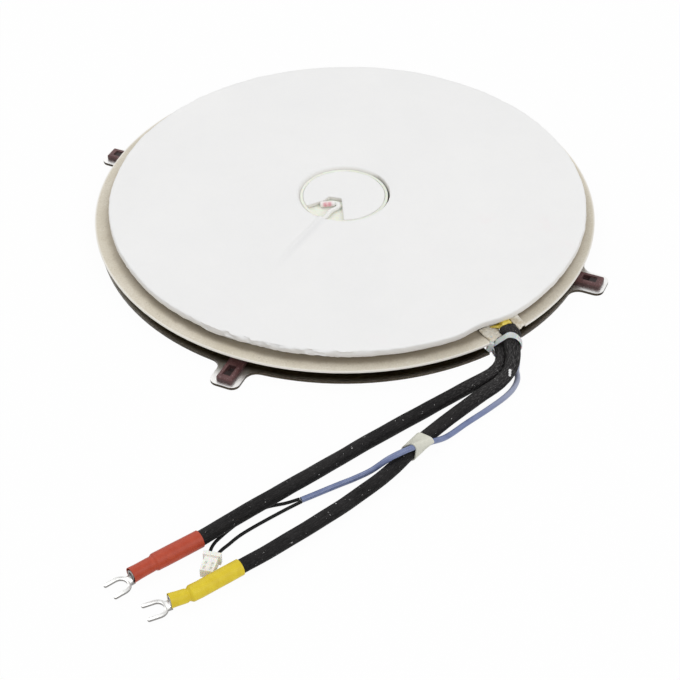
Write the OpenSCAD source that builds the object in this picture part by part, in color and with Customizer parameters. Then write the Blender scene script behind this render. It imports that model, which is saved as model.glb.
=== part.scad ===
// Induction hob coil: a flat litz winding on a ferrite backed board and an aluminium carrier,
// with a temperature sensor in the middle and its leads laid out in front.
// The origin is the middle of the carrier plate's underside, and +Z is up.

/* [Carrier plate] */
// Diameter of the plate
plate_d = 217; // [204:1:219]
// Thickness of the plate
plate_t = 1.2; // [0.8:0.1:2]
// Diameter of the hole in the middle of the plate
plate_hole_d = 24; // [12:1:34]
// Length of an ear beyond the rim
ear_l = 12.5; // [11:0.5:17]
// Width of an ear
ear_w = 12.8; // [11:0.1:18]
// Radius of the outer corners of an ear
ear_corner_r = 3.5; // [1:0.5:5]
// Radius of the hollow corner between an ear and the rim
ear_fillet_r = 5; // [2:0.5:8]
// Width of the notch that the leads leave through
notch_w = 17.4; // [16.8:0.1:19]
// Sideways place of the notch's middle
notch_side = -1.2; // [-1.6:0.1:-1]
// Distance from the middle of the outer tail's bend to the bottom of the notch
notch_gap = 0.7; // [0:0.1:1.5]

/* [Ear blocks] */
// Length of a block
block_l = 15.5; // [14:0.5:18]
// Width of a block
block_w = 7.2; // [6.5:0.1:9]
// Height of a block above the plate
block_h = 2.2; // [2.1:0.1:4]
// Free edge of the ear beyond a block
block_edge = 1.7; // [1:0.1:3]
// Chamfer round the top of a block
block_chamfer = 0.7; // [0.3:0.1:0.8]
// Radius of the outer corners of a block
block_corner_r = 1.2; // [0.8:0.1:2]
// Length of the pocket in a block
pocket_l = 6.2; // [4:0.1:7]
// Width of the pocket
pocket_w = 3.4; // [2:0.1:4]
// Distance from the block's outer end to the pocket
pocket_edge = 2.6; // [2:0.1:4]
// Depth of the pocket's inner half
pocket_deep = 1.9; // [1.2:0.1:2]
// Depth of the pocket's outer half
pocket_shallow = 0.7; // [0.4:0.1:1]

/* [Ferrite bars] */
// Number of bars
bar_count = 8; // [4, 6, 8]
// Length of a bar
bar_l = 55; // [40:1:60]
// Width of a bar
bar_w = 15; // [10:0.5:16]
// Height of a bar
bar_h = 5.8; // [5.2:0.1:7]
// Distance from the centre to the inner end of a bar
bar_start_r = 36; // [35:0.5:42]

/* [Base board] */
// Diameter of the insulating board
board_d = 220; // [216:1:226]
// Thickness of the board
board_t = 0.8; // [0.5:0.1:1.5]

/* [Winding] */
// Width of the litz wire
wire_w = 3.8; // [3:0.1:4]
// Height of the litz wire
wire_h = 3.2; // [2.6:0.1:3.6]
// Flattened corner of the litz wire
wire_chamfer = 0.9; // [0.4:0.1:1.1]
// Gap between two turns
wire_gap = 0.2; // [0.1:0.05:0.4]
// Number of turns
turns = 17; // [12:1:17]
// Inner diameter of the first turn
winding_hole_d = 50; // [48:0.5:54]
// Bend radius of the inner tail
inner_bend_r = 2.65; // [2.3:0.05:2.8]
// Straight length of the inner tail before its first bend
inner_run = 1.5; // [1:0.1:2]
// Distance from the centre to the end of the inner tail
inner_tail_r = 102; // [100:0.5:103]
// Bend radius of the outer tail
outer_bend_r = 2.4; // [2.2:0.1:3]
// Angle of the outer tail across the exit direction
outer_yaw = 18; // [10:1:22]
// Straight length of the outer tail
outer_run = 10.5; // [10:0.1:11]

/* [Fibre blanket] */
// Diameter of the blanket
blanket_d = 209; // [204:1:210]
// Thickness of the blanket
blanket_t = 3.2; // [2.8:0.1:5]
// Gap between the seat and the hole in the blanket
blanket_gap = 0.9; // [0.7:0.1:2.5]
// Width of the groove for the sensor lead
groove_w = 3; // [2.6:0.1:4]
// Play of the sensor lead in the height of its groove
groove_play = 0.2; // [0.1:0.1:0.6]
// Height of the recess over the outer tail
recess_h = 0.7; // [0.6:0.1:1]

/* [Sensor seat] */
// Outer diameter of the seat
seat_d = 38.8; // [36:0.1:39]
// Wall of the seat
seat_wall = 1.2; // [0.8:0.1:2]
// Thickness of the seat's floor
seat_floor_t = 0.9; // [0.6:0.1:1.5]
// Height of the rim above the floor
seat_rim_h = 1.7; // [1.2:0.1:2]
// Gap between the seat and the hole in the board
seat_gap = 1.2; // [1:0.1:2]
// Thickness of the fibre pad in the seat
pad_t = 2; // [1.5:0.1:2.5]
// Gap between the pad and the rim
pad_gap = 1; // [0.2:0.1:1.2]
// Diameter of the sensor bead
bead_d = 2.6; // [2:0.1:3]
// Length of the sensor bead
bead_l = 6.6; // [5:0.1:7]

/* [Exit] */
// Thickness of the yellow tape round the outer tail
tape_t = 0.4; // [0.2:0.1:0.5]
// Length of the yellow tape
tape_l = 6; // [3:0.5:7]
// Width of the packing beside the tails
packing_w = 2.2; // [1:0.1:2.5]
// Length of the packing
packing_l = 8.4; // [6:0.2:9]

/* [Leads] */
// Diameter of the lead with the red sleeve
lead_1_d = 5.8; // [5:0.1:5.8]
// Diameter of the lead with the yellow sleeve
lead_2_d = 5.5; // [5:0.1:5.6]
// Diameter of the sensor lead's white sleeve
sensor_lead_d = 2; // [1.6:0.1:2]
// Diameter of the sensor cable's blue sleeve
cable_sleeve_d = 2.3; // [2:0.1:2.4]
// Diameter of one sensor wire
sensor_wire_d = 1.3; // [1:0.1:1.3]

/* [Cable tie] */
// Width of the strap
tie_w = 3; // [2.4:0.1:3.6]
// Thickness of the strap
tie_t = 0.7; // [0.4:0.1:0.8]
// Play between the strap and the leads
tie_play = 0.7; // [0.5:0.05:0.75]
// Length of the tie's head round the bundle
tie_head_l = 4.8; // [4:0.1:5]
// Height of the tie's head away from the bundle
tie_head_h = 2.4; // [1.8:0.1:2.6]
// Width of the tie's head along the leads
tie_head_w = 4.6; // [4:0.1:5]

/* [Heat shrink sleeves] */
// Wall of the red sleeve
shrink_1_wall = 0.3; // [0.2:0.05:0.35]
// Wall of the yellow sleeve
shrink_2_wall = 0.25; // [0.15:0.05:0.25]
// Play between a sleeve and what it covers
shrink_play = 0.05; // [0.02:0.01:0.1]
// Length of the red sleeve beyond the lead
shrink_1_nose = 8.9; // [7:0.1:10]
// Length of the yellow sleeve beyond the lead
shrink_2_nose = 6.8; // [6:0.1:10]

/* [Fork terminals] */
// Width of the slot for the screw
fork_slot_w = 5.3; // [4.3:0.1:5.6]
// Width over both prongs
fork_w = 8.1; // [7.6:0.1:10]
// Thickness of the tongue
fork_t = 0.9; // [0.6:0.1:1.2]
// Distance from the sleeve to the bottom of the slot
fork_root = 3; // [2.4:0.1:4]
// Distance from the sleeve to the tips of the prongs
fork_reach = 10.3; // [9:0.1:12]
// Drop from the barrel's axis to the underside of the tongue
fork_drop = 2.6; // [2.3:0.1:3]
// Outer diameter of the barrel
barrel_d = 4.2; // [3.8:0.1:4.6]
// Bore of the barrel
barrel_bore_d = 2.8; // [2:0.1:3]
// Length of the barrel that the sleeve leaves bare
barrel_bare = 1; // [0.5:0.1:1.6]

/* [Sensor connector] */
// Width of the connector's body
plug_w = 5; // [4.6:0.1:5]
// Height of the body
plug_h = 3.8; // [3.6:0.1:4.6]
// Length of the body with its head
plug_l = 8.6; // [7:0.1:8.6]
// Width of the head
plug_head_w = 6.6; // [6:0.1:6.8]
// Length of the head
plug_head_l = 1.8; // [1.2:0.1:2.4]
// Height of the head
plug_head_h = 4.6; // [4.6:0.1:5.2]
// Distance between the two wires
plug_pitch = 2.5; // [2.2:0.1:2.6]
// Depth of the wire bores
plug_bore_l = 2; // [1:0.1:3]
// Width of the windows in the body's top
plug_window_w = 1; // [0.6:0.1:1.2]

/* [Tape on the leads] */
// Thickness of the tape
band_t = 0.5; // [0.3:0.05:0.6]
// Play under the tape
band_play = 0.15; // [0.1:0.05:0.3]

/* [Hidden] */
$fn = 96;
hull_fn = 32;
eps = 0.01;
ear_count = 4;
ear_reach = plate_d / 2 + ear_l;
ear_first_angle = 45;
exit_angle = -73;
groove_angle = -141;

// Heights of the stack
board_z = plate_t + bar_h;
winding_z = board_z + board_t;
blanket_z = winding_z + wire_h;

// Board, blanket and seat
board_hole_d = seat_d + 2 * seat_gap;
blanket_hole_d = seat_d + 2 * blanket_gap;
blanket_shift = [1, -1];
blanket_hole_shift = [-0.5, 1];
seat_shift = [0, 0.8];
seat_floor_z = blanket_z - seat_floor_t;
seat_slot_w = groove_w + 2;
pad_cutout = [[-21, -1.6], [-9.3, -0.3], [-6.6, 1.5], [-1.9, -1.8], [-6.3, -16.1], [-7, -21], [-21, -21]];
bead_place = [-8.8, -2.9];
bead_angle = -15;

// The spiral is made of half turns about two centres
pitch = wire_w + wire_gap;
centre_shift = pitch / 4;
first_r = winding_hole_d / 2 + wire_w / 2 + centre_shift;
last_r = first_r + (2 * turns - 1) * pitch / 2;
wire_z = winding_z + wire_h / 2;
spiral_fn = 180;

// The inner tail turns down through the board and runs out under it
inner_start_r = winding_hole_d / 2 + wire_w / 2;
inner_drop_side = -inner_run - inner_bend_r;
inner_tail_z = wire_z - 2 * inner_bend_r;
tail_slot_gap = 0.5;

// The outer tail bends out of the last turn
outer_centre = [centre_shift + last_r + outer_bend_r, 0];
outer_root = outer_centre + outer_bend_r * [sin(outer_yaw), cos(outer_yaw)];
outer_end = outer_root + outer_run * [cos(outer_yaw), -sin(outer_yaw)];
notch_r = outer_centre[0] + notch_gap;
tape_end_gap = 0.3;

// The connector lies with its head toward the wires
plug_place = [-116.6, -171.4, plug_h / 2];
plug_angle = -124;
plug_window_l = 1.6;
plug_window_x = [4.2, 6.4];
plug_window_depth = 0.8;
wire_play = 0.15;

// A point in a wire bore, counted from the connector's face
function plug_point(side, depth) = plug_place + [
    depth * cos(plug_angle) - side * plug_pitch * sin(plug_angle),
    depth * sin(plug_angle) + side * plug_pitch * cos(plug_angle), 0];

// A point beyond the bead's end, in line with the bead
bead_z = blanket_z + bead_d / 2;
bead_chamfer = 0.4;
function bead_point(out) = [
    seat_shift[0] + bead_place[0] + (bead_l / 2 + out) * cos(bead_angle),
    seat_shift[1] + bead_place[1] + (bead_l / 2 + out) * sin(bead_angle), bead_z];

// A point given by its distance out along the exit direction and its distance to the side
function exit_point(out, side, z) =
    [out * cos(exit_angle) - side * sin(exit_angle), out * sin(exit_angle) + side * cos(exit_angle), z];

// Routes of the leads, point by point
lead_gap = 0.1;
lead_run = 2;
lead_1_route = [
    exit_point(inner_tail_r + lead_gap, inner_drop_side, inner_tail_z),
    exit_point(inner_tail_r + 2.5, inner_drop_side, inner_tail_z),
    [26.4, -106, 4.1], [25.9, -108.6, 4.5], [24.2, -113.5, 4], [21.5, -117.3, 3.5], [17.5, -120, 3.2],
    [12, -121.7, 3], [3.5, -124, 3], [-10, -128, 3], [-43.5, -138, 3], [-60, -143.5, 3.1],
    [-91, -154.5, 4.5], [-106, -159.3, 4.4], [-118.5, -162.7, 3.3], [-137.4, -167.8, 3.3]];
lead_2_route = [
    exit_point(outer_end[0] + lead_gap, outer_end[1], wire_z),
    exit_point(outer_end[0] + lead_run * cos(outer_yaw), outer_end[1] - lead_run * sin(outer_yaw), wire_z),
    [30.8, -108, 9.4], [29.4, -111, 9.3], [27.7, -115, 8.6], [25.9, -119.1, 7.4], [23, -123, 5.7],
    [17.4, -126.3, 4], [7.5, -129.8, 2.9], [-3, -134.4, 2.9], [-23, -144.5, 3.5],
    [-33, -150.5, 3.5], [-42.5, -156, 2.9], [-61, -164.3, 2.8], [-73.5, -169, 2.8],
    [-97.5, -177, 2.8], [-109.2, -180.6, 3.1], [-129.7, -186.3, 3.1]];
cable_route = [
    exit_point(103.2, 1.5, 5), exit_point(105.5, 1.6, 4.9),
    [32.2, -107.2, 3.6], [31.6, -112.2, 2.4], [29.3, -116.8, 2.2], [27.1, -120.8, 1.9], [25.6, -124.9, 1.5],
    [21.9, -129.1, 1.3], [17.2, -132.2, 1.2], [8.2, -136.2, 1.2], [-3.5, -140.6, 1.2],
    [-14.6, -145.4, 1.8], [-23, -148.8, 5.1],
    [-32, -151.9, 8], [-41, -153, 7], [-48.5, -152.7, 2.8], [-56.5, -153, 1.2], [-77.5, -156, 1.2]];
wire_1_route = [
    [-77.9, -155.3, 1.2], [-83, -155.1, 0.8], [-91, -154.4, 0.7], [-99, -156.3, 0.7], [-106, -159.6, 0.7],
    [-110.5, -162.1, 0.7], [-114, -164.5, 0.8], [-116.5, -167.8, 1.4],
    plug_point(-0.5, -0.3), plug_point(-0.5, plug_bore_l - lead_gap)];
wire_2_route = [
    [-77.7, -156.8, 1.2], [-86, -158.5, 0.7], [-103.5, -163.9, 0.7], [-109.5, -167, 0.8],
    [-113.4, -169.8, 1.7], plug_point(0.5, -0.3), plug_point(0.5, plug_bore_l - lead_gap)];
sensor_route = [
    bead_point(lead_gap), bead_point(0.5), [-4.6, -3.7, 12.2], [-4.6, -4.6, 12.1], [-5.3, -5.6, 12],
    [-9, -7, 12],
    [-12.5, -10.1, 12], [-17.1, -13.8, 12], [-75.4, -61, 12], [-77, -62.6, 11], [-77.6, -64.2, 9.4],
    [-76.2, -66, 8.9], [-51.5, -85.7, 8.9], [-22.5, -97.4, 8.9], [14, -98.9, 8.9],
    exit_point(99.6, -9.5, 8.9), exit_point(99.5, -6, 8.6), exit_point(99.6, -3.3, 7.5),
    exit_point(100, -0.6, 6.2), exit_point(101.2, 1.2, 5.3), exit_point(102.9, 1.5, 5)];

// The tie's own frame: its long axis runs from lead 1 to lead 2
tie_index = 3;
tie_low = lead_1_route[tie_index];
tie_high = lead_2_route[tie_index];
tie_way = -108;
tie_heading = [cos(tie_way), sin(tie_way), 0];
tie_long = unit(tie_high - tie_low);
tie_normal = unit(tie_heading - (tie_heading * tie_long) * tie_long);
tie_cross = cross(tie_normal, tie_long);
tie_inner_r = lead_1_d / 2 + tie_play;
tie_head_angle = 136;

// The heat shrink sleeves
shrink_1_d = lead_1_d + 2 * shrink_play + 2 * shrink_1_wall;
shrink_2_d = lead_2_d + 2 * shrink_play + 2 * shrink_2_wall;
shrink_1_yaw = 2;
shrink_2_yaw = -13;
sleeve_back = 0.4;
shoulder_l = 0.5;
nose_taper_l = 1.8;
nose_inset = 0.25;
fork_tip_r = (fork_w - fork_slot_w) / 4;

// The tape on the leads covers the middle of one stretch of lead 2 and of the cable
band_index_lead = 10;
band_index_cable = 12;
band_part = [0.1, 0.9];
band_over = 0.1;

function unit(v) = v / norm(v);
function heading(route) = let(way = last(route) - route[len(route) - 2]) atan2(way[1], way[0]);
function last(route) = route[len(route) - 1];
function between(a, b, part) = a + (b - a) * part;
// Direction of a route at one of its points
function route_way(p, i) = i == 0 ? unit(p[1] - p[0])
    : i == len(p) - 1 ? unit(p[i] - p[i - 1])
    : unit(unit(p[i] - p[i - 1]) + unit(p[i + 1] - p[i]));
// Points of one ring of a tube
function ring(centre, way, r, sides) = let(side = unit(cross(way, [0, 0, 1])), up = cross(side, way))
    [for (k = [0:sides - 1]) centre + r * (cos(360 * k / sides) * side + sin(360 * k / sides) * up)];

// Puts its children in a frame given by its origin and its X and Y axes
module place(o, x, y) {
    z = cross(x, y);
    multmatrix([[x[0], y[0], z[0], o[0]], [x[1], y[1], z[1], o[1]], [x[2], y[2], z[2], o[2]], [0, 0, 0, 1]])
        children();
}

// A plain tube swept along a route, with a ring at each point
module cord(route, d, sides = 8) {
    rings = len(route);
    points = [for (i = [0:rings - 1]) each ring(route[i], route_way(route, i), d / 2, sides)];
    walls = [for (i = [0:rings - 2], k = [0:sides - 1])
        let(a = i * sides + k, b = i * sides + (k + 1) % sides) [a, b, b + sides, a + sides]];
    first_cap = [for (k = [0:sides - 1]) sides - 1 - k];
    last_cap = [for (k = [0:sides - 1]) (rings - 1) * sides + k];
    polyhedron(points, concat(walls, [first_cap, last_cap]));
}

// Carrier plate with four ears and a notch for the leads
module ear_outline() {
    reach = ear_reach - ear_corner_r;
    side = ear_w / 2 - ear_corner_r;
    translate([0, -ear_w / 2]) square([reach, ear_w]);
    translate([reach, -side]) square([ear_corner_r, 2 * side]);
    for (s = [-1, 1]) translate([reach, s * side]) circle(ear_corner_r);
}

// Hollow corner on one side of an ear: a block of metal less a circle that touches rim and ear
module ear_fillet() {
    rim_r = plate_d / 2;
    side = ear_w / 2 + ear_fillet_r;
    out = sqrt(pow(rim_r + ear_fillet_r, 2) - side * side);
    touch = [out, side] * rim_r / (rim_r + ear_fillet_r);
    difference() {
        polygon([[touch[0] - ear_fillet_r, ear_w / 2 - eps], [out, ear_w / 2 - eps], [out, side], touch]);
        translate([out, side]) circle(ear_fillet_r);
    }
}

module notch_outline() {
    rotate(exit_angle) translate([notch_r, notch_side - notch_w / 2]) square([board_d / 2, notch_w]);
}

module carrier_plate() {
    color([0.82, 0.82, 0.80]) linear_extrude(plate_t) difference() {
        union() {
            circle(d = plate_d);
            for (i = [1:ear_count]) rotate(ear_angle(i)) {
                ear_outline();
                ear_fillet();
                mirror([0, 1]) ear_fillet();
            }
        }
        circle(d = plate_hole_d);
        notch_outline();
    }
}

function ear_angle(i) = ear_first_angle + (i - 1) * 360 / ear_count;

// Plan of a block, square toward the rim and rounded at the outer corners
module block_plan() {
    r = block_corner_r;
    translate([0, -block_w / 2]) square([block_l - r, block_w]);
    translate([block_l - r, r - block_w / 2]) square([r, block_w - 2 * r]);
    for (s = [-1, 1]) translate([block_l - r, s * (block_w / 2 - r)]) circle(r);
}

// Block with chamfered top edges and a stepped pocket
module ear_block(i) {
    w = block_w / 2;
    c = block_chamfer;
    pocket_x = block_l - pocket_edge - pocket_l;
    color([0.47, 0.32, 0.36]) rotate(ear_angle(i))
        translate([ear_reach - block_edge - block_l, 0, plate_t]) difference() {
            intersection() {
                linear_extrude(block_h) block_plan();
                rotate([90, 0, 90]) linear_extrude(block_l)
                    polygon([[-w, 0], [w, 0], [w, block_h - c], [w - c, block_h],
                        [c - w, block_h], [-w, block_h - c]]);
                rotate([90, 0, 0]) linear_extrude(block_w, center = true)
                    polygon([[0, 0], [block_l, 0], [block_l, block_h - c],
                        [block_l - c, block_h], [0, block_h]]);
            }
            translate([pocket_x, -pocket_w / 2, block_h - pocket_shallow])
                cube([pocket_l, pocket_w, block_h]);
            translate([pocket_x, -pocket_w / 2, block_h - pocket_deep])
                cube([pocket_l / 2, pocket_w, block_h]);
        }
}

module ferrite_bar(i) {
    color([0.22, 0.22, 0.23]) rotate(exit_angle + (i - 0.5) * 360 / bar_count)
        translate([bar_start_r, -bar_w / 2, plate_t]) cube([bar_l, bar_w, bar_h]);
}

// Board with its hole, the notch and the slot that the inner tail drops through
module base_board() {
    slot_l = inner_start_r + wire_w / 2 + tail_slot_gap;
    slot_w = inner_bend_r + wire_h / 2 + 2 * tail_slot_gap;
    color([0.85, 0.82, 0.76]) translate([0, 0, board_z]) linear_extrude(board_t) difference() {
        circle(d = board_d);
        circle(d = board_hole_d);
        notch_outline();
        rotate(exit_angle) translate([0, inner_drop_side - wire_h / 2 - tail_slot_gap])
            square([slot_l, slot_w]);
    }
}

// Section of the litz wire, grown by a layer of the given thickness
module wire_section(grow = 0) {
    w = wire_w / 2 + grow;
    h = wire_h / 2 + grow;
    c = wire_chamfer + grow / 2;
    polygon([[w, c - h], [w, h - c], [w - c, h], [c - w, h],
        [-w, h - c], [-w, c - h], [c - w, -h], [w - c, -h]]);
}

// Arc of wire about the Z axis
module wire_arc(r, sweep) {
    rotate_extrude(angle = sweep, $fn = spiral_fn) translate([r, 0]) wire_section();
}

// Straight wire along +X
module wire_straight(l, grow = 0) {
    rotate([90, 0, 90]) linear_extrude(l) wire_section(grow);
}

// Flat spiral of half turns, whose two centres lie half a pitch apart
module spiral() {
    translate([-centre_shift, 0])
        for (k = [0:turns - 1]) wire_arc(first_r + k * pitch, 180);
    translate([centre_shift, 0]) rotate(180) {
        for (k = [0:turns - 1]) wire_arc(first_r + (k + 0.5) * pitch, 180);
    }
}

// The inner end turns down through the board, then out toward the notch
module inner_tail() {
    turn_x = inner_start_r + inner_bend_r;
    translate([inner_start_r, -inner_run]) rotate(90) wire_straight(inner_run);
    place([inner_start_r, -inner_run, -inner_bend_r], [0, 0, 1], [0, -1, 0])
        rotate_extrude(angle = 90) translate([inner_bend_r, 0]) rotate(90) wire_section();
    place([turn_x, inner_drop_side, -inner_bend_r], [-1, 0, 0], [0, 0, -1])
        rotate_extrude(angle = 90) translate([inner_bend_r, 0]) wire_section();
    translate([turn_x, inner_drop_side, inner_tail_z - wire_z]) rotate([90, 0, 0])
        wire_straight(inner_tail_r - turn_x);
}

// The outer end bends out of the last turn
module outer_tail() {
    translate(outer_centre) rotate(90 - outer_yaw) rotate_extrude(angle = 90 + outer_yaw)
        translate([outer_bend_r, 0]) wire_section();
    translate(outer_root) rotate(-outer_yaw) wire_straight(outer_run);
}

module winding() {
    color([0.62, 0.38, 0.22]) rotate(exit_angle) translate([0, 0, wire_z]) {
        spiral();
        inner_tail();
        outer_tail();
    }
}

// Soft blanket with a hole for the seat, a groove for the sensor lead and a recess for the outer tail
module fibre_blanket() {
    groove_h = sensor_lead_d + groove_play;
    recess_side = wire_w / 2 + tape_t + recess_h;
    color([0.95, 0.95, 0.95]) difference() {
        translate([blanket_shift[0], blanket_shift[1], blanket_z]) cylinder(blanket_t, d = blanket_d);
        translate([blanket_hole_shift[0], blanket_hole_shift[1], blanket_z - blanket_t])
            cylinder(3 * blanket_t, d = blanket_hole_d);
        rotate(groove_angle) translate([0, -groove_w / 2, blanket_z - groove_h])
            cube([last_r + wire_w + 2 * sensor_lead_d, groove_w, 2 * groove_h]);
        rotate(exit_angle) translate([notch_r - 1, outer_end[1] - recess_side, blanket_z - recess_h])
            cube([blanket_d / 2, outer_root[1] - outer_end[1] + 2 * recess_side, 2 * recess_h]);
    }
}

// Round moulding that stands on the plate and holds the sensor against the hob's glass
module sensor_seat() {
    rim_top = blanket_z + seat_rim_h;
    translate([seat_shift[0], seat_shift[1], 0]) color([0.93, 0.91, 0.82]) difference() {
        translate([0, 0, plate_t]) cylinder(rim_top - plate_t, d = seat_d);
        translate([0, 0, blanket_z]) cylinder(seat_rim_h + 1, d = seat_d - 2 * seat_wall);
        translate([0, 0, plate_t - 1]) cylinder(seat_floor_z - plate_t + 1, d = seat_d - 2 * seat_wall);
        rotate(groove_angle) translate([0, -seat_slot_w / 2, blanket_z])
            cube([seat_d, seat_slot_w, seat_rim_h + 1]);
    }
}

// Fibre pad on the seat's floor, cut away round the sensor
module centre_pad() {
    translate([seat_shift[0], seat_shift[1], blanket_z]) color([0.96, 0.96, 0.96]) linear_extrude(pad_t)
        difference() {
            circle(d = seat_d - 2 * seat_wall - 2 * pad_gap);
            polygon(pad_cutout);
        }
}

module temperature_sensor() {
    r = bead_d / 2;
    c = bead_chamfer;
    color([0.95, 0.80, 0.80])
        translate([seat_shift[0] + bead_place[0], seat_shift[1] + bead_place[1], bead_z])
        rotate([0, 90, bead_angle]) translate([0, 0, -bead_l / 2]) {
            cylinder(c, r - c, r);
            translate([0, 0, c]) cylinder(bead_l - 2 * c, r, r);
            translate([0, 0, bead_l - c]) cylinder(c, r, r - c);
        }
}

module sensor_lead() {
    color([0.93, 0.93, 0.90]) cord(sensor_route, sensor_lead_d);
}

// Folded packing in the notch, between its side and the tails
module exit_packing() {
    color([0.90, 0.86, 0.74]) rotate(exit_angle)
        translate([notch_r, notch_side + notch_w / 2 - packing_w, board_z])
        cube([packing_l, packing_w, blanket_z - board_z]);
}

// Yellow tape wound round the outer tail
module exit_tape() {
    color([0.90, 0.78, 0.20]) rotate(exit_angle) translate([outer_root[0], outer_root[1], wire_z])
        rotate(-outer_yaw) translate([outer_run - tape_end_gap - tape_l, 0]) difference() {
            wire_straight(tape_l, tape_t);
            translate([-1, 0]) wire_straight(tape_l + 2);
        }
}

module power_lead_red() {
    color([0.13, 0.13, 0.13]) cord(lead_1_route, lead_1_d, 10);
}

module power_lead_yellow() {
    color([0.13, 0.13, 0.13]) cord(lead_2_route, lead_2_d, 10);
}

// Heat shrink sleeve over the end of a lead, with a narrower nose over the terminal's barrel
module shrink(route, sleeve_d, lead_d, yaw, nose_l, wall) {
    sleeve_l = norm(last(route) - route[len(route) - 2]) - sleeve_back;
    nose_r = barrel_d / 2 + shrink_play + wall;
    difference() {
        union() {
            on_lead_end(route, 0) translate([0, 0, -sleeve_l]) cylinder(sleeve_l + shoulder_l, d = sleeve_d);
            on_lead_end(route, yaw) {
                cylinder(nose_taper_l, sleeve_d / 2 - nose_inset, nose_r);
                cylinder(nose_l, r = nose_r);
            }
        }
        on_lead_end(route, 0) translate([0, 0, -sleeve_l - 1])
            cylinder(sleeve_l + 1, r = lead_d / 2 + shrink_play);
        on_lead_end(route, yaw) translate([0, 0, -1]) cylinder(nose_l + 2, r = barrel_d / 2 + shrink_play);
    }
}

// Puts +Z along a lead's end, turned by yaw, with +X down
module on_lead_end(route, yaw) {
    translate(last(route)) rotate([0, 90, heading(route) + yaw]) children();
}

module shrink_red() {
    color([0.74, 0.27, 0.17])
        shrink(lead_1_route, shrink_1_d, lead_1_d, shrink_1_yaw, shrink_1_nose, shrink_1_wall);
}

module shrink_yellow() {
    color([0.88, 0.80, 0.24])
        shrink(lead_2_route, shrink_2_d, lead_2_d, shrink_2_yaw, shrink_2_nose, shrink_2_wall);
}

// Fork terminal: a barrel on the lead's end and a flat tongue with two prongs
module fork_terminal(route, yaw, nose_l) {
    barrel_start = barrel_d / 2 * sin(abs(yaw));
    barrel_end = nose_l + barrel_bare;
    slot_r = fork_slot_w / 2;
    slot_x = nose_l + fork_root + slot_r;
    tip_x = nose_l + fork_reach;
    on_lead_end(route, yaw) difference() {
        union() {
            translate([0, 0, barrel_start]) cylinder(barrel_end - barrel_start, d = barrel_d);
            // Step from the barrel down to the tongue
            rotate([90, 0, 0]) linear_extrude(barrel_bore_d, center = true) polygon([
                [barrel_bore_d / 2, barrel_end - barrel_bare], [fork_drop - fork_t, barrel_end + barrel_bare],
                [fork_drop, barrel_end + barrel_bare], [fork_drop, barrel_end - barrel_bare / 2],
                [barrel_d / 2, barrel_end - barrel_bare]]);
            translate([fork_drop, 0, 0]) rotate([0, -90, 0]) linear_extrude(fork_t) difference() {
                union() {
                    translate([barrel_end - barrel_bare / 2, -barrel_d / 2])
                        square([slot_x - barrel_end + barrel_bare / 2, barrel_d]);
                    intersection() {
                        translate([slot_x, 0]) circle(d = fork_w);
                        translate([barrel_end, -fork_w / 2]) square([slot_x - barrel_end, fork_w]);
                    }
                    for (s = [-1, 1]) translate([slot_x, s * (slot_r + fork_tip_r)]) {
                        translate([0, -fork_tip_r]) square([tip_x - slot_x - fork_tip_r, 2 * fork_tip_r]);
                        translate([tip_x - slot_x - fork_tip_r, 0]) circle(fork_tip_r);
                    }
                }
                translate([slot_x, 0]) circle(slot_r);
                translate([slot_x, -slot_r]) square([fork_reach, fork_slot_w]);
            }
        }
        translate([0, 0, barrel_end - 2 * barrel_bare]) cylinder(3 * barrel_bare, d = barrel_bore_d);
    }
}

module fork_terminal_red() {
    color([0.80, 0.80, 0.78]) fork_terminal(lead_1_route, shrink_1_yaw, shrink_1_nose);
}

module fork_terminal_yellow() {
    color([0.80, 0.80, 0.78]) fork_terminal(lead_2_route, shrink_2_yaw, shrink_2_nose);
}

// Nylon tie: a strap round both leads and its head on the outside of lead 1
module cable_tie() {
    span = norm(tie_high - tie_low);
    color([0.90, 0.90, 0.88]) place(tie_low, tie_long, tie_cross) {
        linear_extrude(tie_w, center = true) difference() {
            round_slot(span, tie_inner_r + tie_t);
            round_slot(span, tie_inner_r);
        }
        rotate(tie_head_angle) translate([tie_inner_r + tie_t / 2, -tie_head_l / 2, -tie_head_w / 2])
            cube([tie_head_h, tie_head_l, tie_head_w]);
    }
}

// Outline with round ends about the origin and a point at distance l along X
module round_slot(l, r) {
    translate([0, -r]) square([l, 2 * r]);
    circle(r);
    translate([l, 0]) circle(r);
}

module sensor_cable_sleeve() {
    color([0.45, 0.50, 0.65]) cord(cable_route, cable_sleeve_d);
}

module sensor_wire_1() {
    color([0.08, 0.08, 0.08]) cord(wire_1_route, sensor_wire_d);
}

module sensor_wire_2() {
    color([0.08, 0.08, 0.08]) cord(wire_2_route, sensor_wire_d);
}

// Two pin housing with a wider head, two wire bores and two windows over each contact
module sensor_connector() {
    color([0.93, 0.93, 0.89]) translate(plug_place) rotate(plug_angle) difference() {
        union() {
            translate([0, -plug_w / 2, -plug_h / 2]) cube([plug_l, plug_w, plug_h]);
            translate([0, -plug_head_w / 2, -plug_h / 2]) cube([plug_head_l, plug_head_w, plug_head_h]);
        }
        for (side = [-0.5, 0.5]) translate([0, side * plug_pitch]) {
            rotate([0, 90, 0]) translate([0, 0, -1])
                cylinder(plug_bore_l + 1, d = sensor_wire_d + 2 * wire_play);
            for (x = plug_window_x) translate([x, -plug_window_w / 2, plug_h / 2 - plug_window_depth])
                cube([plug_window_l, plug_window_w, plug_h]);
        }
    }
}

// Wound tape that holds the sensor cable to lead 2
module tape_band() {
    color([0.90, 0.91, 0.80]) difference() {
        band_shape(band_part[0], band_part[1], band_play + band_t);
        band_shape(band_part[0] - band_over, band_part[1] + band_over, band_play);
    }
}

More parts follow.
